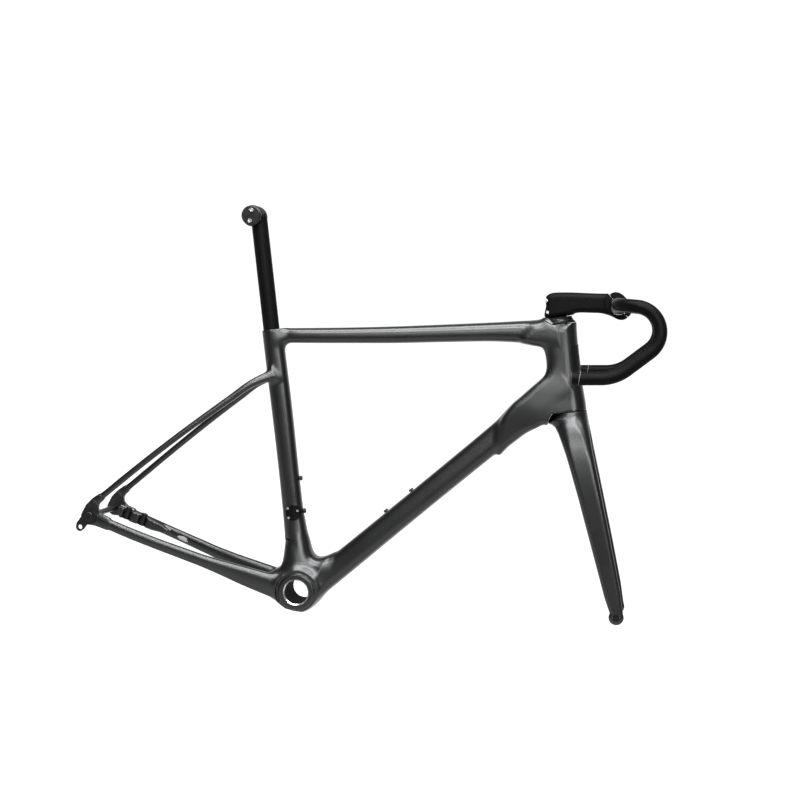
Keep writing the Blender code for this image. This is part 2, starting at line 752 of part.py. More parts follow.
def add_fork():
    crown = loft("fork_crown", CROWN_LINE, PAINT, 24, axis=HEAD_UP)
    below = [(head_point(-0.0360 - GAP, 0.0026), 0.0318, 0.0512, 2.6)]
    crown_mitre = loft(
        "crown_mitre", CROWN_LINE + below, PAINT, 24, grow=GAP, axis=HEAD_UP, collection=CUTTERS
    )
    drill([crown], "steerer_seat", STEERER_BASE_RADIUS + GAP, -0.0160, 0.02, CROWN, HEAD_UP, 32)
    profile = [
        (STEERER_RADIUS, STEM_TOP - 0.0020),
        (STEERER_RADIUS, 0.0700),
        (STEERER_BASE_RADIUS, 0.0250),
        (STEERER_BASE_RADIUS, -0.0155),
        (STEERER_BASE_RADIUS - 0.0035, -0.0155),
        (STEERER_BASE_RADIUS - 0.0035, 0.0250),
        (STEERER_RADIUS - 0.0025, 0.0700),
        (STEERER_RADIUS - 0.0025, STEM_TOP - 0.0020),
    ]
    turned("steerer", profile, CROWN, HEAD_UP, CARBON, closed=True)
    for side, word in ((-1, "right"), (1, "left")):
        leg = loft("fork_leg_" + word, fork_leg_line(side), PAINT, 16, wall=0.0022)
        combine(leg, crown_mitre)
        inner = side * FRONT_SPACING / 2.0
        outer = inner + side * 0.0140
        outline = [
            *arc((FRONT_AXLE_X, AXLE_HEIGHT), 0.0148, math.radians(22), math.radians(-158), 14),
            (0.5872, 0.0846),
            (0.6151, 0.0966),
        ]
        tip = plate("fork_tip_" + word, outline, min(inner, outer), max(inner, outer), BLACK_ALLOY)
        drill([tip], "front_axle_bore_" + word, AXLE_BORE_RADIUS, -0.1, 0.1, FRONT_AXLE, SIDE, 24)
        trim = block(
            "tip_trim_" + word, (0.06, 0.06, 0.06), FRONT_AXLE + Vector((-0.0063, 0, -0.0143)),
            Vector((-0.394, 0.0, 0.919)), PAINT, CUTTERS,
        )
        trim.location.y = side * 0.055
        combine(leg, trim)


def axle(name, centre, half, head_side, threaded_reach):
    """A through axle with a flanged head on the left and a hollow key end."""
    reach = half + threaded_reach
    profile = [
        (0.0, half + 0.0130),
        (0.0030, half + 0.0130),
        (0.0030, half + 0.0160),
        (0.0080, half + 0.0160),
        (0.0095, half + 0.0140),
        (0.0095, half + GAP),
        (AXLE_RADIUS, half + GAP),
        (AXLE_RADIUS, -reach),
        (0.0, -reach),
    ]
    turned(name, profile, centre, (0, head_side, 0), BLACK_ALLOY, steps=18)


# Cockpit

def add_stem():
    column = [(head_point(h, 0.0005), 0.0235, 0.0180, 2.3) for h in (STEM_BASE, STEM_TOP)]
    barrel = loft("stem", column, CARBON, 28, axis=HEAD_UP)
    body_line = [
        ((0.3880, 0, 0.6305), 0.0175, 0.0165, 2.8),
        ((0.4100, 0, 0.6340), 0.0188, 0.0180, 2.8),
        ((0.4500, 0, 0.6402), 0.0190, 0.0192, 2.8),
        ((0.4880, 0, 0.6445), 0.0198, 0.0208, 2.8),
    ]
    body = loft("stem_body", body_line, CARBON, 20, collection=CUTTERS)
    clamp_line = [
        (clamp_point(0.0, 0.0, side), 0.0200, 0.0268, 2.3) for side in (-0.0215, 0.0, 0.0215)
    ]
    clamp = loft("stem_clamp", clamp_line, CARBON, 24, reference=SPLIT_ALONG, collection=CUTTERS)
    for piece in (body, clamp):
        combine(barrel, piece, "UNION")
    bar_room = rod(
        "bar_room", BAR_CLAMP_RADIUS + GAP, -0.05, 0.05, BAR_CENTRE, SIDE, CARBON, 32, CUTTERS
    )
    steerer_room = rod(
        "steerer_room", STEERER_RADIUS + GAP, 0.15, 0.26, CROWN, HEAD_UP, CARBON, 32, CUTTERS
    )
    front_room = block(
        "front_room", (0.09, 0.09, 0.05), clamp_point(0.0, 0.0250 - 0.0004), SPLIT_NORMAL, CARBON, CUTTERS
    )
    slot = block(
        "pinch_slot", (0.0200, 0.0020, 0.0900), head_point(0.2020, -0.0230), HEAD_UP, CARBON, CUTTERS
    )
    for piece in (bar_room, steerer_room, front_room, slot):
        combine(barrel, piece)

    faceplate = loft("faceplate", clamp_line, CARBON, 24, reference=SPLIT_ALONG)
    back_room = block(
        "back_room", (0.09, 0.09, 0.05), clamp_point(0.0, -0.0250 + 0.0004), SPLIT_NORMAL, CARBON, CUTTERS
    )
    for piece in (bar_room, back_room):
        combine(faceplate, piece)

    for i, (along, side) in enumerate(((0.0212, -1), (0.0212, 1), (-0.0212, -1), (-0.0212, 1))):
        base = clamp_point(along, 0.0092, side * 0.0135)
        name = f"faceplate_bolt_{i + 1}"
        screw_head(name, base, SPLIT_NORMAL, STEEL, 0.0036, 0.0036, 0.0021, 0.0180)
        drill([barrel, faceplate], name + "_hole", 0.0024, -0.0186, 0.001, base, SPLIT_NORMAL, 12)
        pocket = rod(
            name + "_pocket", 0.0039, -0.0003, 0.020, base, SPLIT_NORMAL, CARBON, 16, CUTTERS
        )
        combine(faceplate, pocket)

    for word, height in (("upper", 0.2130), ("lower", 0.1905)):
        base = head_point(height, -0.0186, -0.0148)
        name = "pinch_bolt_" + word
        screw_head(name, base, (0, -1, 0), STEEL, 0.0036, 0.0036, 0.0022, 0.0240)
        drill([barrel], name + "_hole", 0.0025, -0.0246, 0.001, base, (0, -1, 0), 12)


def add_collar_and_cap():
    bore = STEERER_RADIUS + GAP
    collar = collar_profile() + [(bore, COLLAR_BASE), (bore, STEM_BASE - GAP)]
    turned("stem_collar", collar, CROWN, HEAD_UP, CARBON, closed=True)
    cap = [
        (0.0, STEM_TOP + 0.0012),
        (0.0035, STEM_TOP + 0.0012),
        (0.0035, STEM_TOP + 0.0030),
        (0.0150, STEM_TOP + 0.0030),
        (0.0168, STEM_TOP + 0.0015),
        (0.0168, STEM_TOP + GAP),
        (0.0, STEM_TOP + GAP),
    ]
    turned("top_cap", cap, CROWN, HEAD_UP, BLACK_ALLOY)


def bar_half():
    """Points of half the handlebar, from its centre to the drop's end, on the +Y side."""
    x0, z0 = BAR_CENTRE.x, BAR_CENTRE.z
    points = [(x0, 0.0, z0), (x0, 0.040, z0), (x0, 0.075, z0), (x0, BAR_SHOULDER, z0 + 0.001)]
    bend = DROP_HALF_WIDTH - BAR_SHOULDER - 0.004
    for step in range(1, 5):
        angle = math.radians(90.0) * step / 5.0
        forward = (HOOK_CENTRE[0] - x0) * (1.0 - math.cos(angle))
        rise = 0.004 * step / 5.0
        points.append((x0 + forward, BAR_SHOULDER + bend * math.sin(angle), z0 + rise))
    hook = arc(HOOK_CENTRE, HOOK_RADIUS, math.radians(90.0), HOOK_END, 9)
    heading = HOOK_END - math.radians(90.0)
    x, z = hook[-1]
    reach = 0.050
    low = (x + reach * math.cos(heading), z + reach * math.sin(heading))
    level = math.radians(-170.0)
    radius = 0.075
    centre = (low[0] - radius * math.sin(heading) * -1.0, low[1] + radius * math.cos(heading) * -1.0)
    sweep = arc(centre, radius, heading + math.radians(90.0), level + math.radians(90.0), 4)
    x, z = sweep[-1]
    length = (x - BAR_END_X) / abs(math.cos(level))
    last = (BAR_END_X, z + length * math.sin(level))
    flat = hook + sweep + [last]
    for i, (x, z) in enumerate(flat):
        flare = 0.008 * max(0, i - 6) / (len(flat) - 7)
        points.append((x, DROP_HALF_WIDTH + flare, z))
    return [Vector(p) for p in points]


def bar_radius(point):
    blend = min(max((abs(point.y) - 0.040) / 0.035, 0.0), 1.0)
    return BAR_CLAMP_RADIUS + (BAR_GRIP_RADIUS - BAR_CLAMP_RADIUS) * blend


def add_handlebar():
    left = bar_half()
    right = [Vector((p.x, -p.y, p.z)) for p in reversed(left)]
    path = right[:-1] + left
    stations = [(p, bar_radius(p), bar_radius(p), 2.0) for p in path]
    loft("handlebar", stations, CARBON, 12, wall=0.0022)
    for side, word in ((-1, "right"), (1, "left")):
        end, before = left[-1].copy(), left[-2].copy()
        end.y *= side
        before.y *= side
        axis = (end - before).normalized()
        profile = [
            (0.0, 0.0052),
            (0.0070, 0.0045),
            (0.0108, 0.0025),
            (0.0119, GAP),
            (0.0092, GAP),
            (0.0092, -0.0120),
            (0.0, -0.0120),
        ]
        turned("bar_plug_" + word, profile, end, axis, RUBBER, steps=20)


# Seatpost and saddle clamp

def add_seatpost():
    profile = [
        (0.0, 0.7380),
        (0.0080, 0.7370),
        (0.0135, 0.7330),
        (POST_RADIUS, 0.7260),
        (POST_RADIUS, POST_BOTTOM),
        (POST_RADIUS - 0.0024, POST_BOTTOM),
        (POST_RADIUS - 0.0024, 0.6950),
        (0.0, 0.6950),
    ]
    post = turned("seatpost", profile, (0, 0, 0), seat_point(1.0), CARBON)
    eye = rod(
        "seat_eye", EYE_RADIUS, -EYE_HALF_WIDTH, EYE_HALF_WIDTH, SEAT_EYE, SIDE, CARBON, 40, CUTTERS
    )
    combine(post, eye, "UNION")
    drill([post], "eye_bore", CLAMP_RADIUS + GAP, -0.05, 0.05, SEAT_EYE, SIDE, 40)


def add_saddle_clamp():
    """A core that turns in the post's eye, with a rail clamp on each end and two cross bolts."""
    half = EYE_HALF_WIDTH + 0.0015
    core = rod("clamp_core", CLAMP_RADIUS, -half, half, SEAT_EYE, SIDE, BLACK_ALLOY, 40)
    ears = []
    for side, word in ((-1, "right"), (1, "left")):
        outward = Vector((0.0, side, 0.0))
        profile = [
            (0.0, EAR_THICKNESS),
            (0.0165, EAR_THICKNESS),
            (0.0192, EAR_THICKNESS - 0.0025),
            (0.0195, 0.0),
            (0.0, 0.0),
        ]
        base = SEAT_EYE + outward * (half + GAP)
        ear = turned("rail_clamp_" + word, profile, base, outward, BLACK_ALLOY, steps=34)
        middle = SEAT_EYE + outward * RAIL_HALF_SPACING
        groove = rod(
            "rail_groove_" + word, RAIL_RADIUS + GAP, -0.05, 0.05, middle, (1, 0, 0), CARBON, 14, CUTTERS
        )
        combine(ear, groove)
        combine(core, groove)
        ears.append(ear)
    for word, shift in (("upper", 0.0105), ("lower", -0.0105)):
        base = SEAT_EYE + Vector((0.0, -half - EAR_THICKNESS - 2 * GAP, shift))
        name = "clamp_bolt_" + word
        length = 2 * half + 2 * EAR_THICKNESS
        screw_head(name, base, (0, -1, 0), STEEL, 0.0042, 0.0040, 0.0025, length)
        drill([core, *ears], name + "_hole", 0.0028, -length - 0.001, 0.005, base, (0, -1, 0), 14)


def build():
    head_tube()
    head_mitre = solid_head(GAP)
    barrel = bottom_bracket()
    seat, top, down, seat_mitre = add_frame_tubes(head_mitre, barrel)
    add_stays(-1, "right", barrel, seat_mitre)
    add_stays(1, "left", barrel, seat_mitre)
    left_stay_mitre = loft(
        "left_stay_mitre", chainstay_line(1), PAINT, 14, grow=GAP, collection=CUTTERS
    )
    add_hanger()
    add_brake_posts(left_stay_mitre)
    add_hose_grommet(left_stay_mitre)
    add_front_mech_mount(seat_mitre)
    add_bottle_bolts(seat, down)
    add_seat_wedge(seat)
    add_headset()
    add_headset_cover(top)
    add_fork()
    axle("rear_axle", REAR_AXLE, REAR_SPACING / 2 + DROPOUT_THICKNESS, 1, -0.0020)
    axle("front_axle", FRONT_AXLE, FRONT_SPACING / 2 + 0.0140, 1, -0.0040)
    add_stem()
    add_collar_and_cap()
    add_handlebar()
    add_seatpost()
    add_saddle_clamp()


build()
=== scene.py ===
"""Looks of the carbon road frameset: continuous painted skins over the frame's tubes, and its finishes.

Metres, in the frame's own axes: +X forward, +Y to the rider's left, +Z up, origin at the bottom bracket.
"""

import json
import math

import bpy
import numpy as np
from mathutils import Matrix, Vector


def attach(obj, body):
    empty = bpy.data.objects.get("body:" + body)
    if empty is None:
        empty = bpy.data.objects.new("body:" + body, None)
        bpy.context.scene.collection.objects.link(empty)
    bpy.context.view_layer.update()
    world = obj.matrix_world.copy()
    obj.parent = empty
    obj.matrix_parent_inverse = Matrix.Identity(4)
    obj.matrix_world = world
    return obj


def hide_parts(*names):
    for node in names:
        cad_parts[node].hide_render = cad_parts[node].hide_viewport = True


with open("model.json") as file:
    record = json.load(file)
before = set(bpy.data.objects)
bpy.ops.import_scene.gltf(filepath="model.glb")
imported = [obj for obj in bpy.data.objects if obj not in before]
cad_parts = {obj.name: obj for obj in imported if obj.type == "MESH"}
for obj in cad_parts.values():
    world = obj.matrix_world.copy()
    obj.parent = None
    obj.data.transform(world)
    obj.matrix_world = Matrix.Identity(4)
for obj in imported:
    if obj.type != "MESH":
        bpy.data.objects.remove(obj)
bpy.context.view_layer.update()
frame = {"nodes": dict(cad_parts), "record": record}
nodes = frame["nodes"]
CELL = 0.0020

SEAT_ANGLE = math.radians(74.0)
HEAD_ANGLE = math.radians(73.5)
AXLE_HEIGHT = 0.075
REAR_AXLE = Vector((-0.4184, 0.0, AXLE_HEIGHT))
FRONT_AXLE = Vector((0.6075, 0.0, AXLE_HEIGHT))
SIDE = Vector((0.0, 1.0, 0.0))
HEAD_UP = Vector((-math.cos(HEAD_ANGLE), 0.0, math.sin(HEAD_ANGLE)))
HEAD_AHEAD = Vector((math.sin(HEAD_ANGLE), 0.0, math.cos(HEAD_ANGLE)))
SEAT_UP = Vector((-math.cos(SEAT_ANGLE), 0.0, math.sin(SEAT_ANGLE)))
SEAT_AHEAD = Vector((math.sin(SEAT_ANGLE), 0.0, math.cos(SEAT_ANGLE)))
CROWN = FRONT_AXLE - HEAD_AHEAD * 0.045 + HEAD_UP * 0.388
HEAD_LENGTH = 0.1647
BB_HALF = 0.04325
POST_RADIUS = 0.0158
BAR_CENTRE = Vector((0.510, 0.0, 0.645))
GAP = 0.0003
BB_BORE = 0.0260
AXLE_HOLE = 0.0063
BAR_HOLE = 0.0163
BOLT_HOLE = 0.0040
ALL_WIDTH = 0.1


def head_point(height, forward=0.0):
    """A point by its height above the fork crown along the steering axis."""
    return CROWN + HEAD_UP * height + HEAD_AHEAD * forward


def seat_point(distance, forward):
    """A point by its distance up the seat tube's axis from the bottom bracket."""
    return SEAT_UP * distance + SEAT_AHEAD * forward


# Distance fields: each is a function from an array of points to distances, negative inside

def smooth_table(ts, values, count=240):
    """Values on a smooth curve through (t, value) rows, at even steps of t."""
    ts = np.asarray(ts, float)
    values = np.asarray(values, float)
    slopes = np.gradient(values, ts, axis=0)
    fine = np.linspace(ts[0], ts[-1], count)
    k = np.clip(np.searchsorted(ts, fine, side="right") - 1, 0, len(ts) - 2)
    width = ts[k + 1] - ts[k]
    u = ((fine - ts[k]) / width)[:, None]
    h00 = (1 + 2 * u) * (1 - u) ** 2
    h10 = u * (1 - u) ** 2
    h01 = u * u * (3 - 2 * u)
    h11 = u * u * (u - 1)
    width = width[:, None]
    rows = h00 * values[k] + h10 * width * slopes[k] + h01 * values[k + 1] + h11 * width * slopes[k + 1]
    return fine, rows


def smooth_curve(ts, values):
    """A smooth function through its (t, value) pairs."""
    fine, table = smooth_table(ts, np.array(values, float)[:, None], 400)
    return lambda t: np.interp(t, fine, table[:, 0])


def superellipse(a, b, half_a, half_b, power):
    """Distance to a superellipse's edge, exact at the edge and close near it."""
    x = np.abs(a) / half_a + 1e-9
    z = np.abs(b) / half_b + 1e-9
    xp, zp = x ** (power - 1.0), z ** (power - 1.0)
    total = xp * x + zp * z
    g = total ** (1.0 / power)
    slope = (g / total) * np.sqrt((xp / half_a) ** 2 + (zp / half_b) ** 2)
    near = (g - 1.0) / slope
    return np.where(g < 0.55, -0.45 * np.minimum(half_a, half_b), near)


def tube(stations, side=SIDE, lean=0.0):
    """A bar through stations of (centre, half height, half width, power), wider on top where it leans."""
    centres = np.array([list(s[0]) for s in stations])
    start = centres[0]
    along = centres[-1] - start
    along = along / np.linalg.norm(along)
    across = np.array(side) - along * (np.array(side) @ along)
    across /= np.linalg.norm(across)
    up = np.cross(across, along)
    t = (centres - start) @ along
    rows = [[(c - start) @ across, (c - start) @ up, s[2], s[1], s[3]] for c, s in zip(centres, stations)]
    fine, table = smooth_table(t, rows)

    def field(p):
        q = p - start
        reach = q @ along
        at = np.clip(reach, fine[0], fine[-1])
        a0, b0, w, h, n = (np.interp(at, fine, table[:, i]) for i in range(5))
        rise = q @ up - b0
        if lean:
            w = w * (1.0 + lean * (np.clip(rise / h, -1.0, 1.0) - 0.55))
        body = superellipse(q @ across - a0, rise, w, h, n)
        end = np.maximum(fine[0] - reach, reach - fine[-1])
        return np.maximum(body, end)

    return field


def lathe(profile, base, axis):
    """A body of revolution: profile gives (height, radius) pairs from low to high."""
    base, axis = np.array(base), np.array(axis) / np.linalg.norm(axis)
    heights, radii = (np.array(c, float) for c in zip(*profile))

    def field(p):
        q = p - base
        height = q @ axis
        radius = np.sqrt(np.maximum((q * q).sum(-1) - height * height, 0.0))
        side = radius - np.interp(height, heights, radii)
        return np.maximum(side, np.maximum(heights[0] - height, height - heights[-1]))

    return field


def rounded(points, steps=4):
    """A closed outline drawn smoothly through its points."""
    p = np.array(points, float)
    before, after, beyond = np.roll(p, 1, 0), np.roll(p, -1, 0), np.roll(p, -2, 0)
    rows = []
    for u in np.arange(steps) / steps:
        rows.append(
            p
            + 0.5 * u * (after - before)
            + 0.5 * u * u * (2 * before - 5 * p + 4 * after - beyond)
            + 0.5 * u ** 3 * (3 * p - before - 3 * after + beyond)
        )
    return np.stack(rows, 1).reshape(-1, 2)


def outline_distance(outline, margin=0.035):
    """Distance in a plane to a closed outline, negative inside and only rough beyond the margin."""
    points = np.array(outline, float)
    ends = np.roll(points, -1, axis=0)
    low, high = points.min(0), points.max(0)

    def distance(u, v):
        out = np.maximum(np.maximum(low[0] - u, u - high[0]), np.maximum(low[1] - v, v - high[1]))
        close = out < margin
        x, z = u[close], v[close]
        nearest = np.full(len(x), 1e9)
        inside = np.zeros(len(x), bool)
        for (ax, az), (bx, bz) in zip(points, ends):
            ex, ez = bx - ax, bz - az
            reach = np.clip(((x - ax) * ex + (z - az) * ez) / (ex * ex + ez * ez), 0.0, 1.0)
            nearest = np.minimum(nearest, (x - ax - reach * ex) ** 2 + (z - az - reach * ez) ** 2)
            if abs(ez) > 1e-12:
                crosses = (az > z) != (bz > z)
                inside ^= crosses & (x < ax + (z - az) * ex / ez)
        out[close] = np.where(inside, -1.0, 1.0) * np.sqrt(nearest)
        return out

    return distance


def slab(outline, low, high):
    """A side-view outline of (x, z) points, solid between two sideways positions."""
    flat = outline_distance(outline)
    return lambda p: np.maximum(flat(p[:, 0], p[:, 2]), np.maximum(low - p[:, 1], p[:, 1] - high))


def web(outline, half, edge):
    """A flat body with a side-view outline; its half thickness and edge radius may vary over it."""
    flat = outline_distance(outline)

    def field(p):
        width = half(p) if callable(half) else half
        radius = edge(p) if callable(edge) else edge
        a = flat(p[:, 0], p[:, 2]) + radius
        b = np.abs(p[:, 1]) - width + radius
        return np.minimum(np.maximum(a, b), 0.0) + np.hypot(np.maximum(a, 0.0), np.maximum(b, 0.0)) - radius

    return field


def plane(point, normal):
    """Negative on the side that the normal points away from."""
    point, normal = np.array(point), np.array(normal) / np.linalg.norm(normal)
    return lambda p: (p - point) @ normal


def blend_min(a, b, radius):
    """Joins two distances with a fillet of about that radius."""
    h = np.clip(0.5 + 0.5 * (b - a) / radius, 0.0, 1.0)
    return b + (a - b) * h - radius * h * (1.0 - h)


def joined(first, *others):
    """One field of several: (field, fillet radius) pairs after the first."""

    def field(p):
        d = first(p)
        for other, radius in others:
            d = blend_min(d, other(p), radius)
        return d

    return field


def cut(body, *tools):
    """A field less others: (field, edge radius) pairs."""

    def field(p):
        d = body(p)
        for tool, radius in tools:
            d = -blend_min(-d, tool(p), radius)
        return d

    return field


def both(body, tool, radius=0.0004):
    """What two fields share."""
    return cut(body, (lambda p: -tool(p), radius))


# Meshes from fields

def sample(field, points, batch=400000):
    """A field's distances at many points, a batch at a time."""
    return np.concatenate([field(points[i:i + batch]) for i in range(0, len(points), batch)])


def field_grid(field, low, high, cell, block=8):
    """Distances on a grid, found exactly only in the blocks that the surface may cross."""
    low = np.array(low, float)
    count = np.ceil((np.array(high) - low) / (cell * block)).astype(int)
    axes = [low[i] + cell * (block * np.arange(count[i]) + (block - 1) / 2.0) for i in range(3)]
    centres = np.stack(np.meshgrid(*axes, indexing="ij"), -1).reshape(-1, 3)
    coarse = sample(field, centres)
    reach = cell * block * 0.87 * 1.6
    near = np.flatnonzero(np.abs(coarse) < reach)
    grid = coarse.reshape(count)
    for axis in range(3):
        grid = np.repeat(grid, block, axis=axis)
    grid = grid.astype(np.float32)
    steps = np.stack(np.meshgrid(*[np.arange(block)] * 3, indexing="ij"), -1).reshape(-1, 3)
    corner = np.stack(np.unravel_index(near, count), -1) * block
    index = (corner[:, None, :] + steps[None]).reshape(-1, 3)
    grid[tuple(index.T)] = sample(field, low + cell * index)
    return grid, low


def surface_net(grid, low, cell):
    """Vertices and quads of the grid's zero surface, with one vertex in each crossed cell."""
    inside = grid < 0.0
    corners = [(i, j, k) for i in (0, 1) for j in (0, 1) for k in (0, 1)]
    shape = tuple(s - 1 for s in grid.shape)

    def corner_view(array, offset):
        return array[tuple(slice(o, o + s) for o, s in zip(offset, shape))]

    total = sum(corner_view(inside, c).astype(np.int8) for c in corners)
    cells = np.argwhere((total > 0) & (total < 8))
    number = np.full(shape, -1, np.int64)
    number[tuple(cells.T)] = np.arange(len(cells))
    values = {c: grid[tuple((cells + c).T)].astype(float) for c in corners}
    place = np.zeros((len(cells), 3))
    crossings = np.zeros(len(cells))
    for a in corners:
        for axis in range(3):
            if a[axis]:
                continue
            b = tuple(v + (i == axis) for i, v in enumerate(a))
            va, vb = values[a], values[b]
            crossed = (va < 0) != (vb < 0)
            t = np.where(crossed, va / np.where(crossed, va - vb, 1.0), 0.0)
            point = np.array(a, float) + np.zeros((len(cells), 3))
            point[:, axis] += t
            place += point * crossed[:, None]
            crossings += crossed
    verts = low + cell * (cells + place / crossings[:, None])
    quads = []
    for axis in range(3):
        step = [0, 0, 0]
        step[axis] = 1
        ahead = inside[tuple(slice(s, None) for s in step)]
        here = inside[tuple(slice(0, -1 if s else None) for s in step)]
        edges = np.argwhere(ahead != here)
        u, v = (axis + 1) % 3, (axis + 2) % 3
        edges = edges[(edges[:, u] > 0) & (edges[:, v] > 0)]
        edges = edges[(edges[:, u] < shape[u]) & (edges[:, v] < shape[v])]
        ring = []
        for du, dv in ((-1, -1), (0, -1), (0, 0), (-1, 0)):
            at = edges.copy()
            at[:, u] += du
            at[:, v] += dv
            ring.append(number[tuple(at.T)])
        quad = np.stack(ring, -1)
        flip = ~inside[tuple(edges.T)]
        quad[flip] = quad[flip][:, ::-1]
        quads.append(quad)
    return verts, np.concatenate(quads)


def slope_of(field, points, step=0.0001):
    """The field's slope at each point."""
    rises = [sample(field, points + offset) - sample(field, points - offset) for offset in np.eye(3) * step]
    return np.stack(rises, -1) / (2 * step)


def settle(field, verts, cell, rounds=3):
    """Moves the vertices onto the surface itself."""
    for _ in range(rounds):
        d = sample(field, verts)
        g = slope_of(field, verts)
        g2 = np.maximum((g * g).sum(-1), 0.05)
        move = -(d / g2)[:, None] * g
        length = np.linalg.norm(move, axis=1, keepdims=True)
        verts = verts + move * np.minimum(1.0, 0.7 * cell / np.maximum(length, 1e-12))
    return verts


def add_mesh(name, verts, faces, look, sharp=None):
    """A smooth-shaded mesh object, with hard edges where faces meet at more than the sharp angle."""
    mesh = bpy.data.meshes.new(name)
    mesh.from_pydata([tuple(v) for v in np.asarray(verts, float)], [], [list(map(int, f)) for f in faces])
    mesh.materials.append(look)
    mesh.shade_smooth()
    if sharp is not None:
        mesh.set_sharp_from_angle(angle=math.radians(sharp))
    obj = bpy.data.objects.new(name, mesh)
    bpy.context.scene.collection.objects.link(obj)
    return obj


def skin(name, field, low, high, look, cell=CELL, cutters=()):
    """A mesh of a field's surface, trimmed with crisp edges by cutter objects."""
    grid, corner = field_grid(field, low, high, cell)
    verts, quads = surface_net(grid, corner, cell)
    verts = settle(field, verts, cell)
    obj = add_mesh(name, verts, quads, look)
    for tool in cutters:
        trim = obj.modifiers.new("trim", "BOOLEAN")
        trim.operation = "DIFFERENCE"
        trim.solver = "MANIFOLD"
        trim.object = tool
    if cutters:
        bake(obj)
        for tool in cutters:
            bpy.data.objects.remove(tool)
        obj.data.shade_smooth()
        obj.data.set_sharp_from_angle(angle=math.radians(40.0))
    return obj


def bake(obj):
    """Replaces an object's mesh with what its modifiers make of it."""
    bpy.context.view_layer.update()
    made = bpy.data.meshes.new_from_object(obj.evaluated_get(bpy.context.evaluated_depsgraph_get()))
    obj.modifiers.clear()
    obj.data = made


def turned(name, profile, base, axis, look, steps=96, closed=False):
    """A mesh of revolution: (radius, height) pairs from the top down its outer side."""
    axis = Vector(axis).normalized()
    turn = Vector((0.0, 0.0, 1.0)).rotation_difference(axis).to_matrix()
    verts, faces, rings = [], [], []
    for radius, height in profile:
        if radius < 1e-9:
            rings.append([len(verts)])
            verts.append(Vector(base) + turn @ Vector((0.0, 0.0, height)))
            continue
        ring = []
        for i in range(steps):
            angle = 2.0 * math.pi * i / steps
            ring.append(len(verts))
            local = Vector((radius * math.cos(angle), radius * math.sin(angle), height))
            verts.append(Vector(base) + turn @ local)
        rings.append(ring)
    links = list(zip(rings, rings[1:]))
    if closed:
        links.append((rings[-1], rings[0]))
    for a, b in links:
        for i in range(steps):
            j = (i + 1) % steps
            if len(a) == 1:
                faces.append((a[0], b[i], b[j]))
            elif len(b) == 1:
                faces.append((a[i], b[0], a[j]))
            else:
                faces.append((a[i], b[i], b[j], a[j]))
    return add_mesh(name, verts, faces, look, sharp=35.0)


# Finishes

class Tree:
    """Short names for the nodes of one material."""

    def __init__(self, name, metallic, roughness, specular=0.5, coat=0.0, coat_roughness=0.2):
        self.material = bpy.data.materials.new(name)
        self.material.use_nodes = True
        self.tree = self.material.node_tree
        self.shader = self.tree.nodes["Principled BSDF"]
        self.shader.inputs["Metallic"].default_value = metallic
        self.shader.inputs["Roughness"].default_value = roughness
        self.shader.inputs["Specular IOR Level"].default_value = specular
        self.shader.inputs["Coat Weight"].default_value = coat
        self.shader.inputs["Coat Roughness"].default_value = coat_roughness
        self.where = self.tree.nodes.new("ShaderNodeTexCoord").outputs["Object"]

    def link(self, value, socket):
        if isinstance(value, (int, float)):
            socket.default_value = value
        elif isinstance(value, tuple):
            socket.default_value = (*value, 1.0)[: len(socket.default_value)]
        else:
            self.tree.links.new(value, socket)

    def stretched(self, scale):
        made = self.tree.nodes.new("ShaderNodeMapping")
        made.inputs["Scale"].default_value = scale
        self.link(self.where, made.inputs["Vector"])
        return made.outputs["Vector"]

    def noise(self, scale, detail=3.0, along=None):
        made = self.tree.nodes.new("ShaderNodeTexNoise")
        made.inputs["Scale"].default_value = scale
        made.inputs["Detail"].default_value = detail
        self.link(along or self.where, made.inputs["Vector"])
        return made.outputs["Fac"]

    def cells(self, scale):
        made = self.tree.nodes.new("ShaderNodeTexVoronoi")
        made.inputs["Scale"].default_value = scale
        self.link(self.where, made.inputs["Vector"])
        return made.outputs["Color"]

    def weave(self, scale, turn):
        made = self.tree.nodes.new("ShaderNodeTexWave")
        made.bands_direction = "DIAGONAL"
        made.inputs["Scale"].default_value = scale
        made.inputs["Distortion"].default_value = 0.6
        placed = self.tree.nodes.new("ShaderNodeMapping")
        placed.inputs["Rotation"].default_value = turn
        self.link(self.where, placed.inputs["Vector"])
        self.link(placed.outputs["Vector"], made.inputs["Vector"])
        return made.outputs["Fac"]

    def math(self, operation, a, b=0.0):
        made = self.tree.nodes.new("ShaderNodeMath")
        made.operation = operation
        self.link(a, made.inputs[0])
        self.link(b, made.inputs[1])
        return made.outputs["Value"]

    def ramp(self, value, low, high, to_low, to_high):
        made = self.tree.nodes.new("ShaderNodeMapRange")
        given = {"Value": value, "From Min": low, "From Max": high, "To Min": to_low, "To Max": to_high}
        for key, level in given.items():
            self.link(level, made.inputs[key])
        return made.outputs["Result"]

    def mix(self, amount, a, b):
        made = self.tree.nodes.new("ShaderNodeMix")
        made.data_type = "RGBA"
        self.link(amount, made.inputs[0])
        self.link(a, made.inputs[6])
        self.link(b, made.inputs[7])
        return made.outputs[2]

    def axes(self):
        made = self.tree.nodes.new("ShaderNodeSeparateXYZ")
        self.link(self.where, made.inputs[0])
        return made.outputs

    def colour(self, value):
        self.link(value, self.shader.inputs["Base Color"])

    def roughness(self, value):
        self.link(value, self.shader.inputs["Roughness"])

    def bump(self, height, strength, distance):
        made = self.tree.nodes.new("ShaderNodeBump")
        made.inputs["Strength"].default_value = strength
        made.inputs["Distance"].default_value = distance
        self.link(height, made.inputs["Height"])
        self.link(made.outputs["Normal"], self.shader.inputs["Normal"])


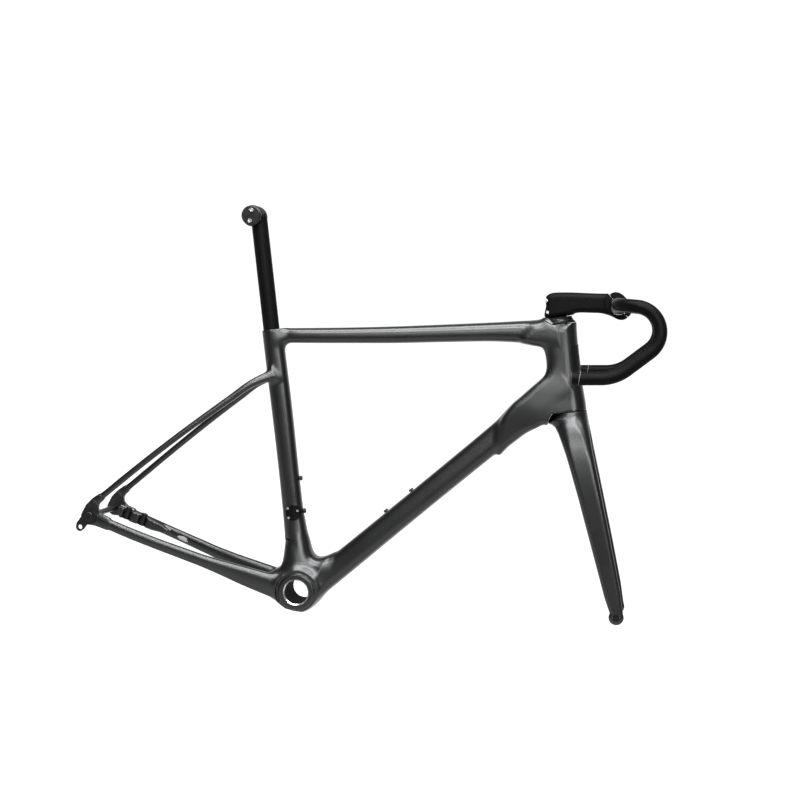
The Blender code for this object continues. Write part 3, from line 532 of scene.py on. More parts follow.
def paint():
    """Satin charcoal with fine metal flake under it."""
    t = Tree("satin_charcoal", 1.0, 0.33, 0.5, coat=0.10, coat_roughness=0.20)
    flake = t.math("MULTIPLY", t.cells(1800.0), 1.0)
    cloud = t.noise(14.0, 2.0)
    t.colour(t.mix(flake, (0.025, 0.0252, 0.0256), (0.038, 0.0385, 0.039)))
    t.roughness(t.ramp(cloud, 0.3, 0.7, 0.31, 0.35))
    t.bump(t.noise(700.0, 2.0), 0.06, 0.0002)
    return t.material


def carbon(name, low, high, rough):
    """Satin black carbon with a faint weave in its lacquer."""
    t = Tree(name, 0.0, rough, 0.03)
    one, two = t.weave(260.0, (0.0, 0.0, 0.0)), t.weave(260.0, (0.0, 1.5708, 0.0))
    cloth = t.math("MULTIPLY", one, two)
    t.colour(t.mix(cloth, (low, low, low * 1.05), (high, high, high * 1.05)))
    t.roughness(t.ramp(t.noise(30.0), 0.3, 0.7, rough - 0.03, rough + 0.04))
    t.bump(t.noise(900.0, 2.0), 0.05, 0.0002)
    return t


def bar_carbon():
    """The handlebar's carbon: smoother on top, matte in the drops, with a light line near each end."""
    t = carbon("handlebar_carbon", 0.0012, 0.0028, 0.36)
    x, _, z = t.axes()
    low = t.math("LESS_THAN", z, 0.6045)
    t.roughness(t.ramp(t.math("ADD", low, t.math("MULTIPLY", t.noise(40.0), 0.2)), 0.0, 1.2, 0.34, 0.46))
    in_band = t.math("MULTIPLY", t.math("GREATER_THAN", x, 0.4682), t.math("LESS_THAN", x, 0.4690))
    ring = t.math("MULTIPLY", in_band, t.math("LESS_THAN", z, 0.540))
    base = t.shader.inputs["Base Color"].links[0].from_socket
    t.colour(t.mix(ring, base, (0.10, 0.10, 0.10)))
    return t.material


def anodised(name, level, rough):
    """Bead-blasted alloy, dyed black."""
    t = Tree(name, 0.75, rough, 0.5)
    speck = t.noise(1400.0, 2.0)
    dark = (level * 0.7, level * 0.7, level * 0.72)
    light = (level * 1.4, level * 1.4, level * 1.44)
    t.colour(t.mix(speck, dark, light))
    t.roughness(t.ramp(t.noise(60.0), 0.3, 0.7, rough - 0.04, rough + 0.05))
    t.bump(speck, 0.12, 0.0002)
    return t.material


def metal(name, level, rough):
    """Bright steel or silver, finely turned."""
    t = Tree(name, 1.0, rough, 0.5)
    lines = t.noise(160.0, 4.0, t.stretched((1.0, 9.0, 1.0)))
    t.colour(t.mix(lines, (level * 0.82, level * 0.82, level * 0.84), (level, level, level)))
    t.roughness(t.ramp(lines, 0.3, 0.7, rough - 0.06, rough + 0.08))
    t.bump(lines, 0.02, 0.0001)
    return t.material


def bore_black():
    """The dull black inside of the bracket's sleeve."""
    t = Tree("sleeve_black", 0.0, 0.75, 0.05)
    lines = t.noise(300.0, 3.0, t.stretched((1.0, 6.0, 1.0)))
    t.colour(t.mix(lines, (0.0025, 0.0025, 0.0025), (0.0050, 0.0050, 0.0050)))
    t.roughness(t.ramp(lines, 0.2, 0.8, 0.70, 0.85))
    return t.material


def rubber(name, level):
    """Dull moulded rubber."""
    t = Tree(name, 0.0, 0.68, 0.3)
    grain = t.noise(1100.0, 3.0)
    t.colour(t.mix(grain, (level * 0.5, level * 0.5, level * 0.5), (level, level, level)))
    t.roughness(t.ramp(grain, 0.3, 0.7, 0.6, 0.75))
    t.bump(grain, 0.25, 0.0003)
    return t.material


def badge_finish():
    """The gloss black patch on the head tube, with nothing written on it."""
    t = Tree("badge_black", 0.0, 0.36, 0.08)
    t.colour(t.mix(t.noise(90.0), (0.0015, 0.0015, 0.0015), (0.0035, 0.0035, 0.0035)))
    t.roughness(t.ramp(t.noise(25.0), 0.3, 0.7, 0.32, 0.42))
    return t.material


PAINT = paint()
CARBON = carbon("satin_black_carbon", 0.0012, 0.0028, 0.42).material
BAR_CARBON = bar_carbon()
ALLOY = anodised("black_anodised", 0.008, 0.36)
STEEL = metal("bright_steel", 0.50, 0.26)
SLEEVE = bore_black()
RUBBER = rubber("black_rubber", 0.012)
GREY_RUBBER = rubber("grey_rubber", 0.16)
BADGE = badge_finish()

SLOT_LOOKS = {
    "painted_carbon": PAINT,
    "black_carbon": CARBON,
    "black_alloy": ALLOY,
    "bright_steel": STEEL,
    "black_rubber": RUBBER,
}
OWN_LOOKS = {"handlebar": BAR_CARBON, "hose_grommet": GREY_RUBBER, "fd_mount_cover": CARBON}
for row in frame["record"]["subparts"]:
    shown = nodes[row["node"]]
    shown.data.materials.clear()
    shown.data.materials.append(OWN_LOOKS.get(row["node"], SLOT_LOOKS[row["material_slot"]]))


def place(obj, body, *stands_for, slot="painted_carbon"):
    """Fixes a piece to its body, in place of the CAD nodes that it stands for."""
    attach(obj, body)
    if stands_for:
        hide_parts(*stands_for)
    return obj


# The frame's shape

DOWN_TUBE = [
    ((0.0050, 0, -0.0146), 0.0240, 0.0330, 2.6),
    ((0.0600, 0, 0.0497), 0.0242, 0.0310, 2.7),
    ((0.1500, 0, 0.1550), 0.0234, 0.0290, 2.7),
    ((0.2500, 0, 0.2720), 0.0233, 0.0275, 2.7),
    ((0.3200, 0, 0.3535), 0.0240, 0.0272, 2.7),
    ((0.3700, 0, 0.4115), 0.0258, 0.0272, 2.8),
    ((0.4050, 0, 0.4510), 0.0275, 0.0272, 2.8),
    ((0.4350, 0, 0.4850), 0.0275, 0.0272, 2.8),
]
TOP_TUBE = [
    ((-0.1280, 0, 0.4793), 0.0140, 0.0095, 2.5),
    ((-0.0980, 0, 0.4845), 0.0145, 0.0148, 2.5),
    ((-0.0600, 0, 0.4910), 0.0148, 0.0165, 2.5),
    ((0.0200, 0, 0.5052), 0.0153, 0.0172, 2.5),
    ((0.1000, 0, 0.5200), 0.0162, 0.0182, 2.5),
    ((0.2000, 0, 0.5402), 0.0170, 0.0197, 2.5),
    ((0.3000, 0, 0.5600), 0.0188, 0.0222, 2.6),
    ((0.3500, 0, 0.5683), 0.0217, 0.0250, 2.7),
    ((0.3800, 0, 0.5718), 0.0240, 0.0275, 2.8),
    ((0.4050, 0, 0.5745), 0.0260, 0.0290, 2.8),
]
SEAT_TUBE = [
    (seat_point(0.012, 0.0020), 0.0280, 0.0345, 2.4),
    (seat_point(0.050, 0.0025), 0.0268, 0.0310, 2.4),
    (seat_point(0.090, 0.0040), 0.0230, 0.0250, 2.4),
    (seat_point(0.120, 0.0036), 0.0216, 0.0215, 2.4),
    (seat_point(0.156, 0.0027), 0.0200, 0.0193, 2.3),
    (seat_point(0.200, 0.0028), 0.0195, 0.0188, 2.3),
    (seat_point(0.385, 0.0028), 0.0200, 0.0188, 2.3),
    (seat_point(0.450, 0.0020), 0.0199, 0.0188, 2.3),
    (seat_point(0.530, 0.0018), 0.0200, 0.0190, 2.3),
]


def chainstay_line(side):
    return [
        ((-0.4050, side * 0.0765, 0.0715), 0.0100, 0.0055, 2.5),
        ((-0.3822, side * 0.0762, 0.0671), 0.0103, 0.0068, 2.5),
        ((-0.3400, side * 0.0738, 0.0578), 0.0106, 0.0075, 2.5),
        ((-0.2813, side * 0.0680, 0.0457), 0.0107, 0.0080, 2.5),
        ((-0.2300, side * 0.0605, 0.0358), 0.0113, 0.0084, 2.6),
        ((-0.1868, side * 0.0535, 0.0273), 0.0121, 0.0088, 2.6),
        ((-0.1450, side * 0.0460, 0.0192), 0.0150, 0.0095, 2.7),
        ((-0.1103, side * 0.0405, 0.0125), 0.0182, 0.0100, 2.7),
        ((-0.0711, side * 0.0350, 0.0058), 0.0210, 0.0110, 2.7),
        ((-0.0200, side * 0.0290, -0.0020), 0.0245, 0.0120, 2.6),
    ]


def seatstay_line(side):
    return [
        ((-0.4100, side * 0.0760, 0.1070), 0.0072, 0.0055, 2.4),
        ((-0.4018, side * 0.0758, 0.1162), 0.0064, 0.0060, 2.4),
        ((-0.3650, side * 0.0738, 0.1580), 0.0060, 0.0062, 2.4),
        ((-0.3290, side * 0.0695, 0.1985), 0.0059, 0.0064, 2.4),
        ((-0.2800, side * 0.0610, 0.2520), 0.0060, 0.0068, 2.4),
        ((-0.2350, side * 0.0500, 0.2995), 0.0062, 0.0072, 2.4),
        ((-0.1890, side * 0.0380, 0.3465), 0.0067, 0.0078, 2.4),
        ((-0.1540, side * 0.0285, 0.3815), 0.0076, 0.0084, 2.4),
        ((-0.1330, side * 0.0215, 0.3960), 0.0092, 0.0084, 2.4),
        ((-0.1170, side * 0.0160, 0.4050), 0.0104, 0.0080, 2.4),
    ]


def arc(centre, radius, start, end, count):
    """Points along a circle from one angle to another, in degrees."""
    angles = np.radians(np.linspace(start, end, count))
    return [(centre[0] + radius * math.cos(a), centre[1] + radius * math.sin(a)) for a in angles]


DROPOUT = [
    (-0.3800, 0.0560),
    (-0.4040, 0.0595),
    *arc((REAR_AXLE.x, AXLE_HEIGHT), 0.0170, -100, -205, 12),
    (-0.4290, 0.0960),
    (-0.4200, 0.1085),
    (-0.4069, 0.1205),
    (-0.3970, 0.1118),
    (-0.4030, 0.1040),
    (-0.4045, 0.0970),
    (-0.4020, 0.0895),
    (-0.3950, 0.0832),
    (-0.3780, 0.0780),
]
BRAKE_SHELF = [
    (-0.4080, 0.0800),
    (-0.3700, 0.0735),
    (-0.3400, 0.0665),
    (-0.3120, 0.0590),
    (-0.2960, 0.0520),
    (-0.3040, 0.0445),
    (-0.3330, 0.0460),
    (-0.3700, 0.0530),
    (-0.4030, 0.0590),
]
HEAD_SHAPE = [
    (-0.0020, 0.0300),
    (0.0120, 0.0290),
    (HEAD_LENGTH * 0.28, 0.0278),
    (HEAD_LENGTH * 0.82, 0.0278),
    (0.1950, 0.0300),
]
BARREL = [(-0.0384, 0.0364), (-0.0355, 0.0383), (0.0355, 0.0383), (0.0384, 0.0364)]
END_RING = [
    (-BB_HALF, 0.0330),
    (-BB_HALF + 0.0010, 0.0346),
    (-0.0370, 0.0350),
    (0.0370, 0.0350),
    (BB_HALF - 0.0010, 0.0346),
    (BB_HALF, 0.0330),
]
BRACKET_VALLEY = [
    (-0.0200, 0.1100),
    (-0.0040, 0.0980),
    (0.0040, 0.0830),
    (0.0110, 0.0735),
    (0.0205, 0.0690),
    (0.0300, 0.0690),
    (0.0410, 0.0720),
    (0.0490, 0.0748),
    (0.0560, 0.0765),
    (0.0630, 0.0690),
    (0.0600, 0.0500),
    (0.0360, 0.0240),
    (0.0040, 0.0160),
    (-0.0200, 0.0400),
    (-0.0260, 0.0800),
]
STAY_VALLEY = [
    (-0.0300, 0.0900),
    (-0.0385, 0.0800),
    (-0.0395, 0.0680),
    (-0.0397, 0.0570),
    (-0.0412, 0.0460),
    (-0.0450, 0.0375),
    (-0.0530, 0.0320),
    (-0.0580, 0.0240),
    (-0.0540, 0.0100),
    (-0.0300, 0.0050),
    (-0.0050, 0.0300),
    (-0.0120, 0.0800),
]
HEAD_WEB = [
    (0.3420, 0.5520),
    (0.3600, 0.5465),
    (0.3740, 0.5462),
    (0.3825, 0.5445),
    (0.3885, 0.5380),
    (0.3935, 0.5260),
    (0.3970, 0.5130),
    (0.3980, 0.5030),
    (0.3960, 0.4930),
    (0.3900, 0.4830),
    (0.3790, 0.4695),
    (0.3600, 0.4455),
    (0.3440, 0.4250),
    (0.3300, 0.3900),
    (0.3360, 0.3310),
    (0.3500, 0.3480),
    (0.3650, 0.3645),
    (0.3800, 0.3800),
    (0.3980, 0.3925),
    (0.4120, 0.4020),
    (0.4250, 0.4000),
    (0.4400, 0.3940),
    (0.4700, 0.3940),
    (0.4960, 0.4060),
    (0.4920, 0.4200),
    (0.4843, 0.4450),
    (0.4793, 0.4610),
    (0.4693, 0.4890),
    (0.4593, 0.5220),
    (0.4493, 0.5560),
    (0.4408, 0.5880),
    (0.4375, 0.6020),
    (0.4300, 0.6065),
    (0.4000, 0.6052),
    (0.3840, 0.6040),
    (0.3755, 0.5995),
    (0.3700, 0.5920),
    (0.3560, 0.5830),
]
SEAM_LINE = [
    (0.3720, 0.5993),
    (0.3830, 0.5938),
    (0.3935, 0.5893),
    (0.4100, 0.5943),
    (0.4300, 0.6003),
    (0.4500, 0.6063),
]
TOP_LINE = [(0.3720, 0.5993), (0.3790, 0.6016), (0.4380, 0.6030), (0.4500, 0.6034)]
OVER_HEAD = [(0.4600, 0.6600), (0.3650, 0.6600)]
COVER_TIP = (0.3650, 0.6030)
OVER_SEAT = [
    (-0.1650, 0.4815),
    (-0.1240, 0.4935),
    (-0.0600, 0.5125),
    (0.3000, 0.6300),
    (0.3000, 0.7000),
    (-0.1650, 0.7000),
]
NOTCH = [
    (-0.0570, 0.1160),
    (-0.0485, 0.1125),
    (-0.0415, 0.0962),
    (-0.0270, 0.0958),
    (-0.0270, 0.0942),
    (-0.0570, 0.0930),
]
HEAD_WIDTH = smooth_curve(
    [0.300, 0.350, 0.395, 0.425, 0.460, 0.500, 0.550, 0.580, 0.620],
    [0.0262, 0.0295, 0.0352, 0.0362, 0.0343, 0.0312, 0.0298, 0.0298, 0.0302],
)


def head_width(p):
    """Half the width of the head, by height."""
    return HEAD_WIDTH(p[:, 2])


def head_edge(p):
    """The head's edge radius: full round in front, tighter behind."""
    ahead = (p - np.array(CROWN)) @ np.array(HEAD_AHEAD)
    share = np.clip((ahead + 0.048) / 0.058, 0.0, 1.0)
    low = 0.0120 + 0.0170 * share * share * (3.0 - 2.0 * share)
    return np.maximum(low, np.interp(p[:, 2], [0.560, 0.592], [0.0120, 0.0190]))


def seat_web(p):
    """Half the width of the filled corners over the bracket."""
    by_height = np.interp(p[:, 2], [0.030, 0.060, 0.085, 0.110], [0.0330, 0.0270, 0.0215, 0.0150])
    return np.minimum(by_height, np.interp(p[:, 0], [0.030, 0.062], [0.0330, 0.0130]))


def brake_shelf():
    """The deeper inner side of the left chainstay, scalloped for the brake's two posts."""
    shelf = slab(BRAKE_SHELF, 0.0560, 0.0740)
    hollows = []
    for x, z in ((-0.3880, 0.0690), (-0.3540, 0.0622)):
        hollow = lathe([(-0.05, 0.0098), (0.05, 0.0098)], (x, 0.0530, z), (0.19, 0.0, 0.98))
        hollows.append((hollow, 0.0010))
    return cut(shelf, *hollows)


def painted_shape():
    """The main frame with its head, bracket and stays, before anything is cut away."""
    head = lathe(HEAD_SHAPE, CROWN, HEAD_UP)
    head_web = web(rounded(HEAD_WEB, 3), head_width, head_edge)
    main = joined(
        head, (head_web, 0.001), (tube(TOP_TUBE, lean=0.05), 0.010), (tube(DOWN_TUBE, lean=0.12), 0.012),
    )
    lower = joined(
        tube(SEAT_TUBE),
        (web(rounded(BRACKET_VALLEY), seat_web, 0.0160), 0.014),
        (web(rounded(STAY_VALLEY), seat_web, 0.0140), 0.010),
    )
    stays = []
    for side in (-1, 1):
        plate = slab(DROPOUT, *sorted((side * 0.0712, side * 0.0808)))
        stay = joined(tube(chainstay_line(side)), (plate, 0.006), (tube(seatstay_line(side)), 0.005))
        if side > 0:
            stay = joined(stay, (brake_shelf(), 0.003))
        stays.append((stay, 0.013))
    body = joined(main, (lower, 0.018), *stays)
    barrel = lathe(BARREL, (0, 0, 0), SIDE)
    body = joined(body, (barrel, 0.021))
    moats = []
    for side in (-1, 1):
        moat = lathe([(0.0, 0.0400), (0.02, 0.0400)], (0, side * 0.0386, 0), (0, side, 0))
        moats.append((moat, 0.003))
    return joined(cut(body, *moats), (lathe(END_RING, (0, 0, 0), SIDE), 0.0012))


def bar_through(name, radius, low, high, base, axis, steps=64):
    """A round cutter between two heights along an axis."""
    profile = [(0.0, high), (radius, high), (radius, low), (0.0, low)]
    return turned(name, profile, base, axis, PAINT, steps)


CROWN_ROOM = [
    (0.0335, 0.0004),
    (0.0340, -0.0005),
    (0.0378, -0.0040),
    (0.0425, -0.0100),
    (0.0448, -0.0160),
    (0.0458, -0.0210),
    (0.0485, -0.0260),
    (0.0540, -0.0360),
    (0.0600, -0.0600),
]


def crown_room():
    """The room the fork's crown turns in."""
    return turned("crown_room", [(0.0, 0.0004), *CROWN_ROOM, (0.0, -0.0600)], CROWN, HEAD_UP, PAINT)


CROWN_BACK = [
    (0.0327, 0.0004),
    (0.0330, -0.0005),
    (0.0364, -0.0042),
    (0.0407, -0.0103),
    (0.0427, -0.0158),
    (0.0438, -0.0210),
    (0.0465, -0.0260),
    (0.0530, -0.0360),
    (0.0600, -0.0600),
]


def below_seam():
    """Everything under the head's lower edge and ahead of the line behind the fork's crown."""
    behind = [head_point(height, -reach) for reach, height in CROWN_BACK]
    ahead = [head_point(-0.0600, 0.0700), head_point(0.0004, 0.0700)]
    return slab([(q.x, q.z) for q in behind + ahead], -ALL_WIDTH, ALL_WIDTH)


def collar_room():
    """The room for the stem's collar over the head."""
    base = HEAD_LENGTH + 0.0017
    profile = [
        (0.0, 0.2300),
        (0.0252, 0.2300),
        (0.0252, 0.1765),
        (0.0270, 0.1722),
        (0.0316, base + 0.0004),
        (0.0316, base - 0.0006),
        (0.0, base - 0.0006),
    ]
    return turned("collar_room", profile, CROWN, HEAD_UP, PAINT)


def make_frame():
    """The painted frame in one piece, the wedge over its head and the plain black patch in front."""
    shape = painted_shape()
    seat_top = slab(OVER_SEAT, -ALL_WIDTH, ALL_WIDTH)
    above_seam = slab([*SEAM_LINE, *OVER_HEAD, COVER_TIP], -ALL_WIDTH, ALL_WIDTH)
    above_top = slab([*TOP_LINE, *OVER_HEAD, COVER_TIP], -ALL_WIDTH, ALL_WIDTH)
    notch = slab(NOTCH, -0.0600, -0.0125)
    body = cut(shape, (seat_top, 0.0015), (above_seam, 0.0008), (notch, 0.0006), (below_seam(), 0.0008))
    obj = skin(
        "frame_skin", body, (-0.445, -0.090, -0.045), (0.495, 0.090, 0.615), PAINT,
        cutters=(
            bar_through("bb_bore", BB_BORE, -0.06, 0.06, (0, 0, 0), SIDE, 96),
            bar_through("post_room", POST_RADIUS + GAP, 0.2255, 0.56, (0, 0, 0), SEAT_UP, 96),
            bar_through("axle_room", AXLE_HOLE, -0.2, 0.2, REAR_AXLE, SIDE),
            collar_room(),
            crown_room(),
        ),
    )
    place(
        obj, "frame", "head_tube", "top_tube", "down_tube", "seat_tube", "bb_shell", "chainstay_left",
        "chainstay_right", "seatstay_left", "seatstay_right", "dropout_left", "dropout_right",
    )

    raised_seam = [(x, z + 2.0 * GAP) for x, z in SEAM_LINE]
    wedge_side = slab(raised_seam + OVER_HEAD, -ALL_WIDTH, ALL_WIDTH)
    wedge = cut(both(shape, wedge_side), (above_top, 0.0008))
    cover = skin(
        "cover_skin", wedge, (0.366, -0.040, 0.580), (0.450, 0.040, 0.612), PAINT, cell=CELL * 0.5,
        cutters=(collar_room(), bar_through("cover_bore", 0.0206, 0.150, 0.230, CROWN, HEAD_UP)),
    )
    place(cover, "frame", "headset_cover")

    corners = ((0.0740, 0.0160), (0.1240, 0.0160), (0.1240, 0.0500), (0.0740, 0.0500))
    patch = [head_point(height, ahead) for height, ahead in corners]
    near = slab([(q.x, q.z) for q in patch], -ALL_WIDTH, ALL_WIDTH)
    badge = both(both(lambda p: shape(p) - 0.0004, near, 0.0012), lambda p: -0.0010 - shape(p), 0.0002)
    low, high = (0.425, -0.036, 0.490), (0.478, 0.036, 0.568)
    place(skin("head_badge", badge, low, high, BADGE, cell=CELL * 0.4), "frame")


def make_sleeve():
    """The bracket's bearing sleeve, with its bevelled silver ends."""
    end = 0.04285
    profile = [
        (0.0254, end),
        (0.0250, end),
        (0.0230, end - 0.0022),
        (0.0230, -end + 0.0022),
        (0.0250, -end),
        (0.0254, -end),
    ]
    obj = turned("sleeve_skin", profile[::-1], (0, 0, 0), SIDE, SLEEVE, closed=True)
    obj.data.materials.append(STEEL)
    for face in obj.data.polygons:
        face.material_index = int(abs(face.center.y) > end - 0.0023)
    place(obj, "frame", "bb_sleeve", slot="black_alloy")


# Fork

FORK_SIDE = [
    (0.4690, 0.4985),
    (0.4853, 0.4430),
    (0.4900, 0.4285),
    (0.4945, 0.4160),
    (0.4989, 0.4040),
    (0.5094, 0.3746),
    (0.5293, 0.3240),
    (0.5489, 0.2737),
    (0.5685, 0.2237),
    (0.5877, 0.1735),
    (0.6066, 0.1232),
    (0.6147, 0.0976),
    *arc((FRONT_AXLE.x, AXLE_HEIGHT), 0.0146, 35, -190, 14),
    (0.5942, 0.0800),
    (0.5795, 0.1072),
    (0.5403, 0.1921),
    (0.5011, 0.2770),
    (0.4716, 0.3376),
    (0.4617, 0.3568),
    (0.4516, 0.3739),
    (0.4417, 0.3895),
    (0.4335, 0.4000),
    (0.4265, 0.4040),
    (0.4210, 0.4045),
    (0.4185, 0.4072),
    (0.4188, 0.4130),
    (0.4212, 0.4200),
    (0.4236, 0.4250),
    (0.4074, 0.4805),
]
FORK_WIDTH = smooth_curve(
    [0.0, 0.008, 0.018, 0.030, 0.045, 0.060, 0.080, 0.110, 0.150, 0.200, 0.260, 0.330, 0.372, 0.420],
    [
        0.0346, 0.0358, 0.0390, 0.0432, 0.0476, 0.0509, 0.0540,
        0.0568, 0.0589, 0.0603, 0.0615, 0.0630, 0.0639, 0.0642,
    ],
)
FORK_EDGE = smooth_curve(
    [0.0, 0.0154, 0.030, 0.045, 0.060, 0.140, 0.300, 0.420],
    [0.0318, 0.0300, 0.0250, 0.0200, 0.0160, 0.0112, 0.0085, 0.0060],
)
FORK_GAP = [
    (0.0, 0.0360),
    (0.0065, 0.0366),
    (0.0120, 0.0382),
    (0.0170, 0.0412),
    (0.0212, 0.0460),
    (0.0242, 0.0520),
    (0.0262, 0.0600),
    (0.0295, 0.0860),
    (0.0353, 0.1400),
    (0.0414, 0.2456),
    (0.0459, 0.3260),
    (0.0490, 0.3660),
    (0.0500, 0.3800),
    (0.0500, 0.4600),
]


def below_crown(p):
    """How far down the steering axis each point is from the crown's top."""
    return -((p - np.array(CROWN)) @ np.array(HEAD_UP))


def make_fork():
    """Crown, legs and tips in one piece: a blade seen from the side, parted by a channel for the wheel."""
    blade = web(FORK_SIDE, lambda p: FORK_WIDTH(below_crown(p)), lambda p: FORK_EDGE(below_crown(p)))
    gap_edge = outline_distance(FORK_GAP + [(-y, t) for y, t in reversed(FORK_GAP[1:])])
    body = cut(
        blade,
        (lambda p: gap_edge(p[:, 1], below_crown(p)), 0.010),
        (plane(head_point(-0.0006), -HEAD_UP), 0.0010),
    )
    obj = skin(
        "fork_skin", body, (0.410, -0.070, 0.055), (0.630, 0.070, 0.450), PAINT,
        cutters=(
            bar_through("axle_room", AXLE_HOLE, -0.2, 0.2, FRONT_AXLE, SIDE),
            bar_through("steerer_room", 0.0201, -0.016, 0.02, CROWN, HEAD_UP),
            bar_through("fender_eye", 0.0014, -0.0652, -0.0610, (0.5990, 0.0, 0.0895), SIDE, 20),
        ),
    )
    place(
        obj, "fork", "fork_crown", "fork_leg_left", "fork_leg_right", "fork_tip_left", "fork_tip_right"
    )


# Stem

STEM_SIDE = [
    (0.3808, 0.6002),
    (0.3765, 0.6220),
    (0.3735, 0.6370),
    (0.3752, 0.6425),
    (0.3800, 0.6468),
    (0.3880, 0.6500),
    (0.4050, 0.6534),
    (0.4250, 0.6565),
    (0.4500, 0.6596),
    (0.4700, 0.6622),
    (0.4840, 0.6645),
    (0.4960, 0.6670),
    (0.5080, 0.6670),
    (0.5150, 0.6560),
    (0.5220, 0.6400),
    (0.5270, 0.6270),
    (0.5180, 0.6243),
    (0.5030, 0.6240),
    (0.4900, 0.6258),
    (0.4780, 0.6262),
    (0.4600, 0.6238),
    (0.4420, 0.6212),
    (0.4330, 0.6185),
    (0.4295, 0.6155),
    (0.4260, 0.6138),
]
SPLIT_ANGLE = math.radians(48.5)
SPLIT_NORMAL = Vector((math.cos(SPLIT_ANGLE), 0.0, math.sin(SPLIT_ANGLE)))
SPLIT_ALONG = Vector((-math.sin(SPLIT_ANGLE), 0.0, math.cos(SPLIT_ANGLE)))


def clamp_point(along, out, side=0.0):
    """A point by its place along and out from the bar clamp's split."""
    return BAR_CENTRE + SPLIT_ALONG * along + SPLIT_NORMAL * out + SIDE * side


def stem_width(p):
    """Half the width of the stem, from its rear to its front."""
    return np.interp(p[:, 0], [0.375, 0.400, 0.440, 0.475, 0.500], [0.0192, 0.0205, 0.0195, 0.0200, 0.0215])


def make_stem():
    """The stem with its cap, and the faceplate across the bar."""
    clamp_line = [(clamp_point(0.0, 0.0, side), 0.0203, 0.0272, 2.4) for side in (-0.0215, 0.0, 0.0215)]
    clamp = tube(clamp_line, side=SPLIT_ALONG)
    body = joined(web(rounded(STEM_SIDE), stem_width, 0.0100), (clamp, 0.004))
    rear = cut(body, (plane(clamp_point(0.0, -0.0004), SPLIT_NORMAL * -1.0), 0.0006))
    cutters = [
        bar_through("bar_room", BAR_HOLE, -0.05, 0.05, BAR_CENTRE, SIDE, 96),
        bar_through("steerer_room", 0.0146, 0.15, 0.222, CROWN, HEAD_UP),
    ]
    for height in (0.2130, 0.1905):
        at = head_point(height, -0.0186)
        cutters.append(bar_through("bolt_pocket", BOLT_HOLE, 0.0147, 0.0300, at, -SIDE, 32))
    low, high = (0.365, -0.024, 0.598), (0.540, 0.024, 0.672)
    body = skin("stem_skin", rear, low, high, CARBON, CELL * 0.6, cutters)
    place(body, "fork", "stem", "top_cap", slot="black_carbon")
    front = cut(clamp, (plane(clamp_point(0.0, 0.0004), SPLIT_NORMAL), 0.0006))
    cutters = [bar_through("bar_room", BAR_HOLE, -0.05, 0.05, BAR_CENTRE, SIDE, 96)]
    for along in (0.0212, -0.0212):
        for side in (-0.0135, 0.0135):
            at = clamp_point(along, 0.0092, side)
            cutters.append(bar_through("bolt_pocket", BOLT_HOLE, -GAP, 0.0200, at, SPLIT_NORMAL, 32))
    low, high = (0.480, -0.024, 0.618), (0.540, 0.024, 0.672)
    plate = skin("faceplate_skin", front, low, high, CARBON, CELL * 0.5, cutters)
    place(plate, "fork", "faceplate", slot="black_carbon")


# Handlebar

def bar_half():
    """Points of half the handlebar, from its centre to the drop's end, on the +Y side."""
    x0, z0 = BAR_CENTRE.x, BAR_CENTRE.z
    shoulder, half, hook_at, hook_radius = 0.150, 0.205, (0.548, 0.604), 0.0450
    points = [(x0, y, z0 + 0.001 * y / shoulder) for y in np.linspace(0.0, shoulder, 9)]
    bend = half - shoulder - 0.004
    for step in range(1, 13):
        angle = math.radians(90.0) * step / 15.0
        forward = (hook_at[0] - x0) * (1.0 - math.cos(angle))
        points.append((x0 + forward, shoulder + bend * math.sin(angle), z0 + 0.004 * step / 15.0))
    heading = math.radians(-43.0) - math.radians(90.0)
    hook = arc(hook_at, hook_radius, 90.0, -43.0, 30)
    x, z = hook[-1]
    low = (x + 0.050 * math.cos(heading), z + 0.050 * math.sin(heading))
    centre = (low[0] + 0.075 * math.sin(heading), low[1] - 0.075 * math.cos(heading))
    sweep = arc(centre, 0.075, math.degrees(heading) + 90.0, -80.0, 12)
    x, z = sweep[-1]
    length = (x - 0.456) / math.cos(math.radians(10.0))
    last = (0.456, z - length * math.sin(math.radians(10.0)))
    flat = hook + sweep + [last]
    turns = [0.0] * 8 + list(np.linspace(0.0, 0.008, len(flat) - 8))
    points += [(x, half + out, z) for (x, z), out in zip(flat, turns)]
    return [Vector(p) for p in points]


def swept(name, path, radii, look, sides=48):
    """A round bar along a path of points, with flat ends."""
    verts, faces = [], []
    across = Vector((1.0, 0.0, 0.0))
    for i, (point, radius) in enumerate(zip(path, radii)):
        ahead = (path[min(i + 1, len(path) - 1)] - path[max(i - 1, 0)]).normalized()
        across = (across - ahead * across.dot(ahead)).normalized()
        up = ahead.cross(across)
        for k in range(sides):
            angle = 2.0 * math.pi * k / sides
            verts.append(point + (across * math.cos(angle) + up * math.sin(angle)) * radius)
    for i in range(len(path) - 1):
        for k in range(sides):
            a, b = i * sides + k, i * sides + (k + 1) % sides
            faces.append((a, b, b + sides, a + sides))
    faces.append(tuple(range(sides))[::-1])
    faces.append(tuple(range(len(verts) - sides, len(verts))))
    return add_mesh(name, verts, faces, look, sharp=40.0)


def make_handlebar():
    """The drop bar, full size in its clamp and slimmer outwards."""
    left = bar_half()
    path = [Vector((p.x, -p.y, p.z)) for p in reversed(left)][:-1] + left
    radii = [np.interp(abs(p.y), [0.040, 0.075], [0.0159, 0.0119]) for p in path]
    place(swept("handlebar_skin", path, radii, BAR_CARBON), "handlebar", "handlebar", slot="black_carbon")


make_frame()
make_sleeve()
make_fork()
make_stem()
make_handlebar()


# Stage, lights and camera

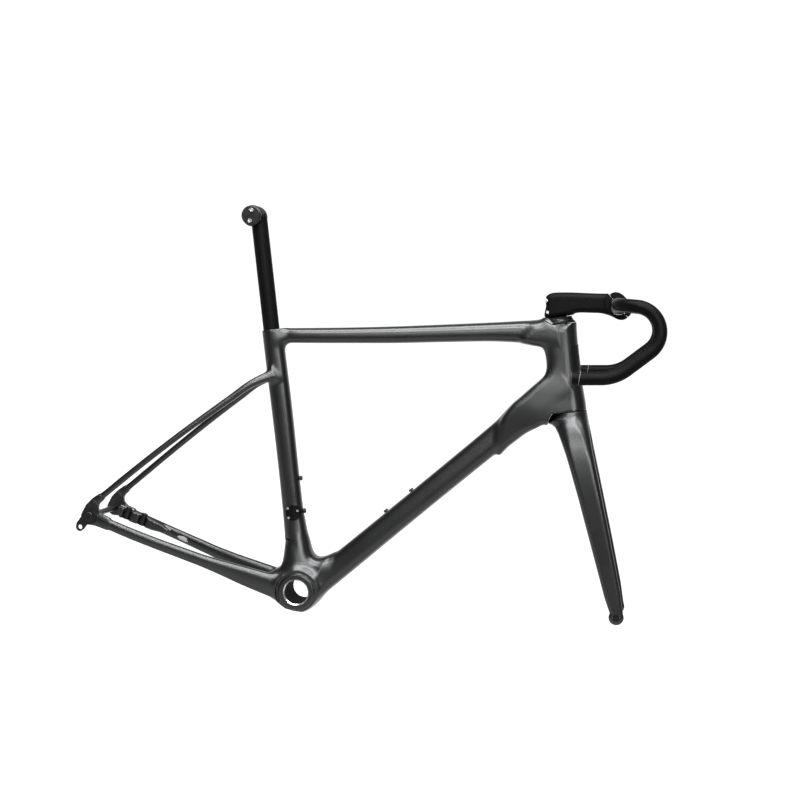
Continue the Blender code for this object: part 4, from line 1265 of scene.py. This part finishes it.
def make_stage():
    """A pale floor, bright behind the object and greyer in front of it."""
    t = Tree("studio_floor", 0.0, 0.9, 0.2)
    _, y, _ = t.axes()
    back = t.ramp(y, -1.40, -0.70, 0.0, 1.0)
    near = t.ramp(y, -2.6, -1.3, 0.0, 1.0)
    speckle = t.ramp(t.noise(40.0), 0.3, 0.7, 0.97, 1.0)
    t.colour(t.mix(t.math("MULTIPLY", near, speckle), (0.11, 0.11, 0.11), (0.16, 0.16, 0.16)))
    t.shader.inputs["Emission Color"].default_value = (1.0, 1.0, 1.0, 1.0)
    t.link(back, t.shader.inputs["Emission Strength"])
    far, floor = 30.0, -0.262
    verts = [(-far, -far, floor), (far, -far, floor), (far, far, floor), (-far, far, floor)]
    add_mesh("studio_floor", verts, [(0, 1, 2, 3)], t.material)


def softbox(name, place_at, target, size, radiance):
    """A rectangular light that faces a point."""
    light = bpy.data.lights.new(name, "AREA")
    light.shape = "RECTANGLE"
    light.size, light.size_y = size
    light.energy = radiance * math.pi * size[0] * size[1]
    obj = bpy.data.objects.new(name, light)
    obj.location = place_at
    obj.rotation_mode = "QUATERNION"
    obj.rotation_quaternion = (Vector(target) - Vector(place_at)).to_track_quat("-Z", "Y")
    bpy.context.scene.collection.objects.link(obj)


def make_light():
    """A world that is white behind the object and dimmer in front, and three softboxes."""
    world = bpy.data.worlds.new("studio")
    world.use_nodes = True
    tree = world.node_tree
    split = tree.nodes.new("ShaderNodeSeparateXYZ")
    tree.links.new(tree.nodes.new("ShaderNodeTexCoord").outputs["Generated"], split.inputs[0])
    level = tree.nodes.new("ShaderNodeMapRange")
    for key, value in (("From Min", 0.35), ("From Max", 0.80), ("To Min", 0.25), ("To Max", 1.05)):
        level.inputs[key].default_value = value
    tree.links.new(split.outputs[1], level.inputs["Value"])
    ground = tree.nodes["Background"]
    ground.inputs["Color"].default_value = (1.0, 1.0, 1.0, 1.0)
    tree.links.new(level.outputs["Result"], ground.inputs["Strength"])
    bpy.context.scene.world = world
    softbox("overhead", (0.1, -0.7, 2.5), (0.1, -0.05, 0.4), (3.0, 0.9), 22.0)
    softbox("front_high", (0.1, -2.8, 2.7), (0.1, 0.0, 0.3), (3.6, 1.1), 23.0)
    softbox("front_mid", (1.1, -3.3, 1.35), (0.3, 0.0, 0.35), (3.8, 0.45), 20.0)
    bpy.context.scene.view_settings.view_transform = "Standard"


def make_camera():
    """The camera, off the drive side and a little above and ahead of the middle."""
    right = Vector((0.97437, 0.15143, 0.16634))
    up = Vector((-0.17572, 0.05077, 0.98313))
    back = right.cross(up)
    data = bpy.data.cameras.new("camera")
    data.sensor_width = 36.0
    data.lens = 70.875
    camera = bpy.data.objects.new("camera", data)
    turn = Matrix((right, up, back)).transposed()
    camera.matrix_world = Matrix.Translation((0.5562, -2.9877, 0.6285)) @ turn.to_4x4()
    bpy.context.scene.collection.objects.link(camera)
    bpy.context.scene.camera = camera


make_stage()
make_light()
make_camera()
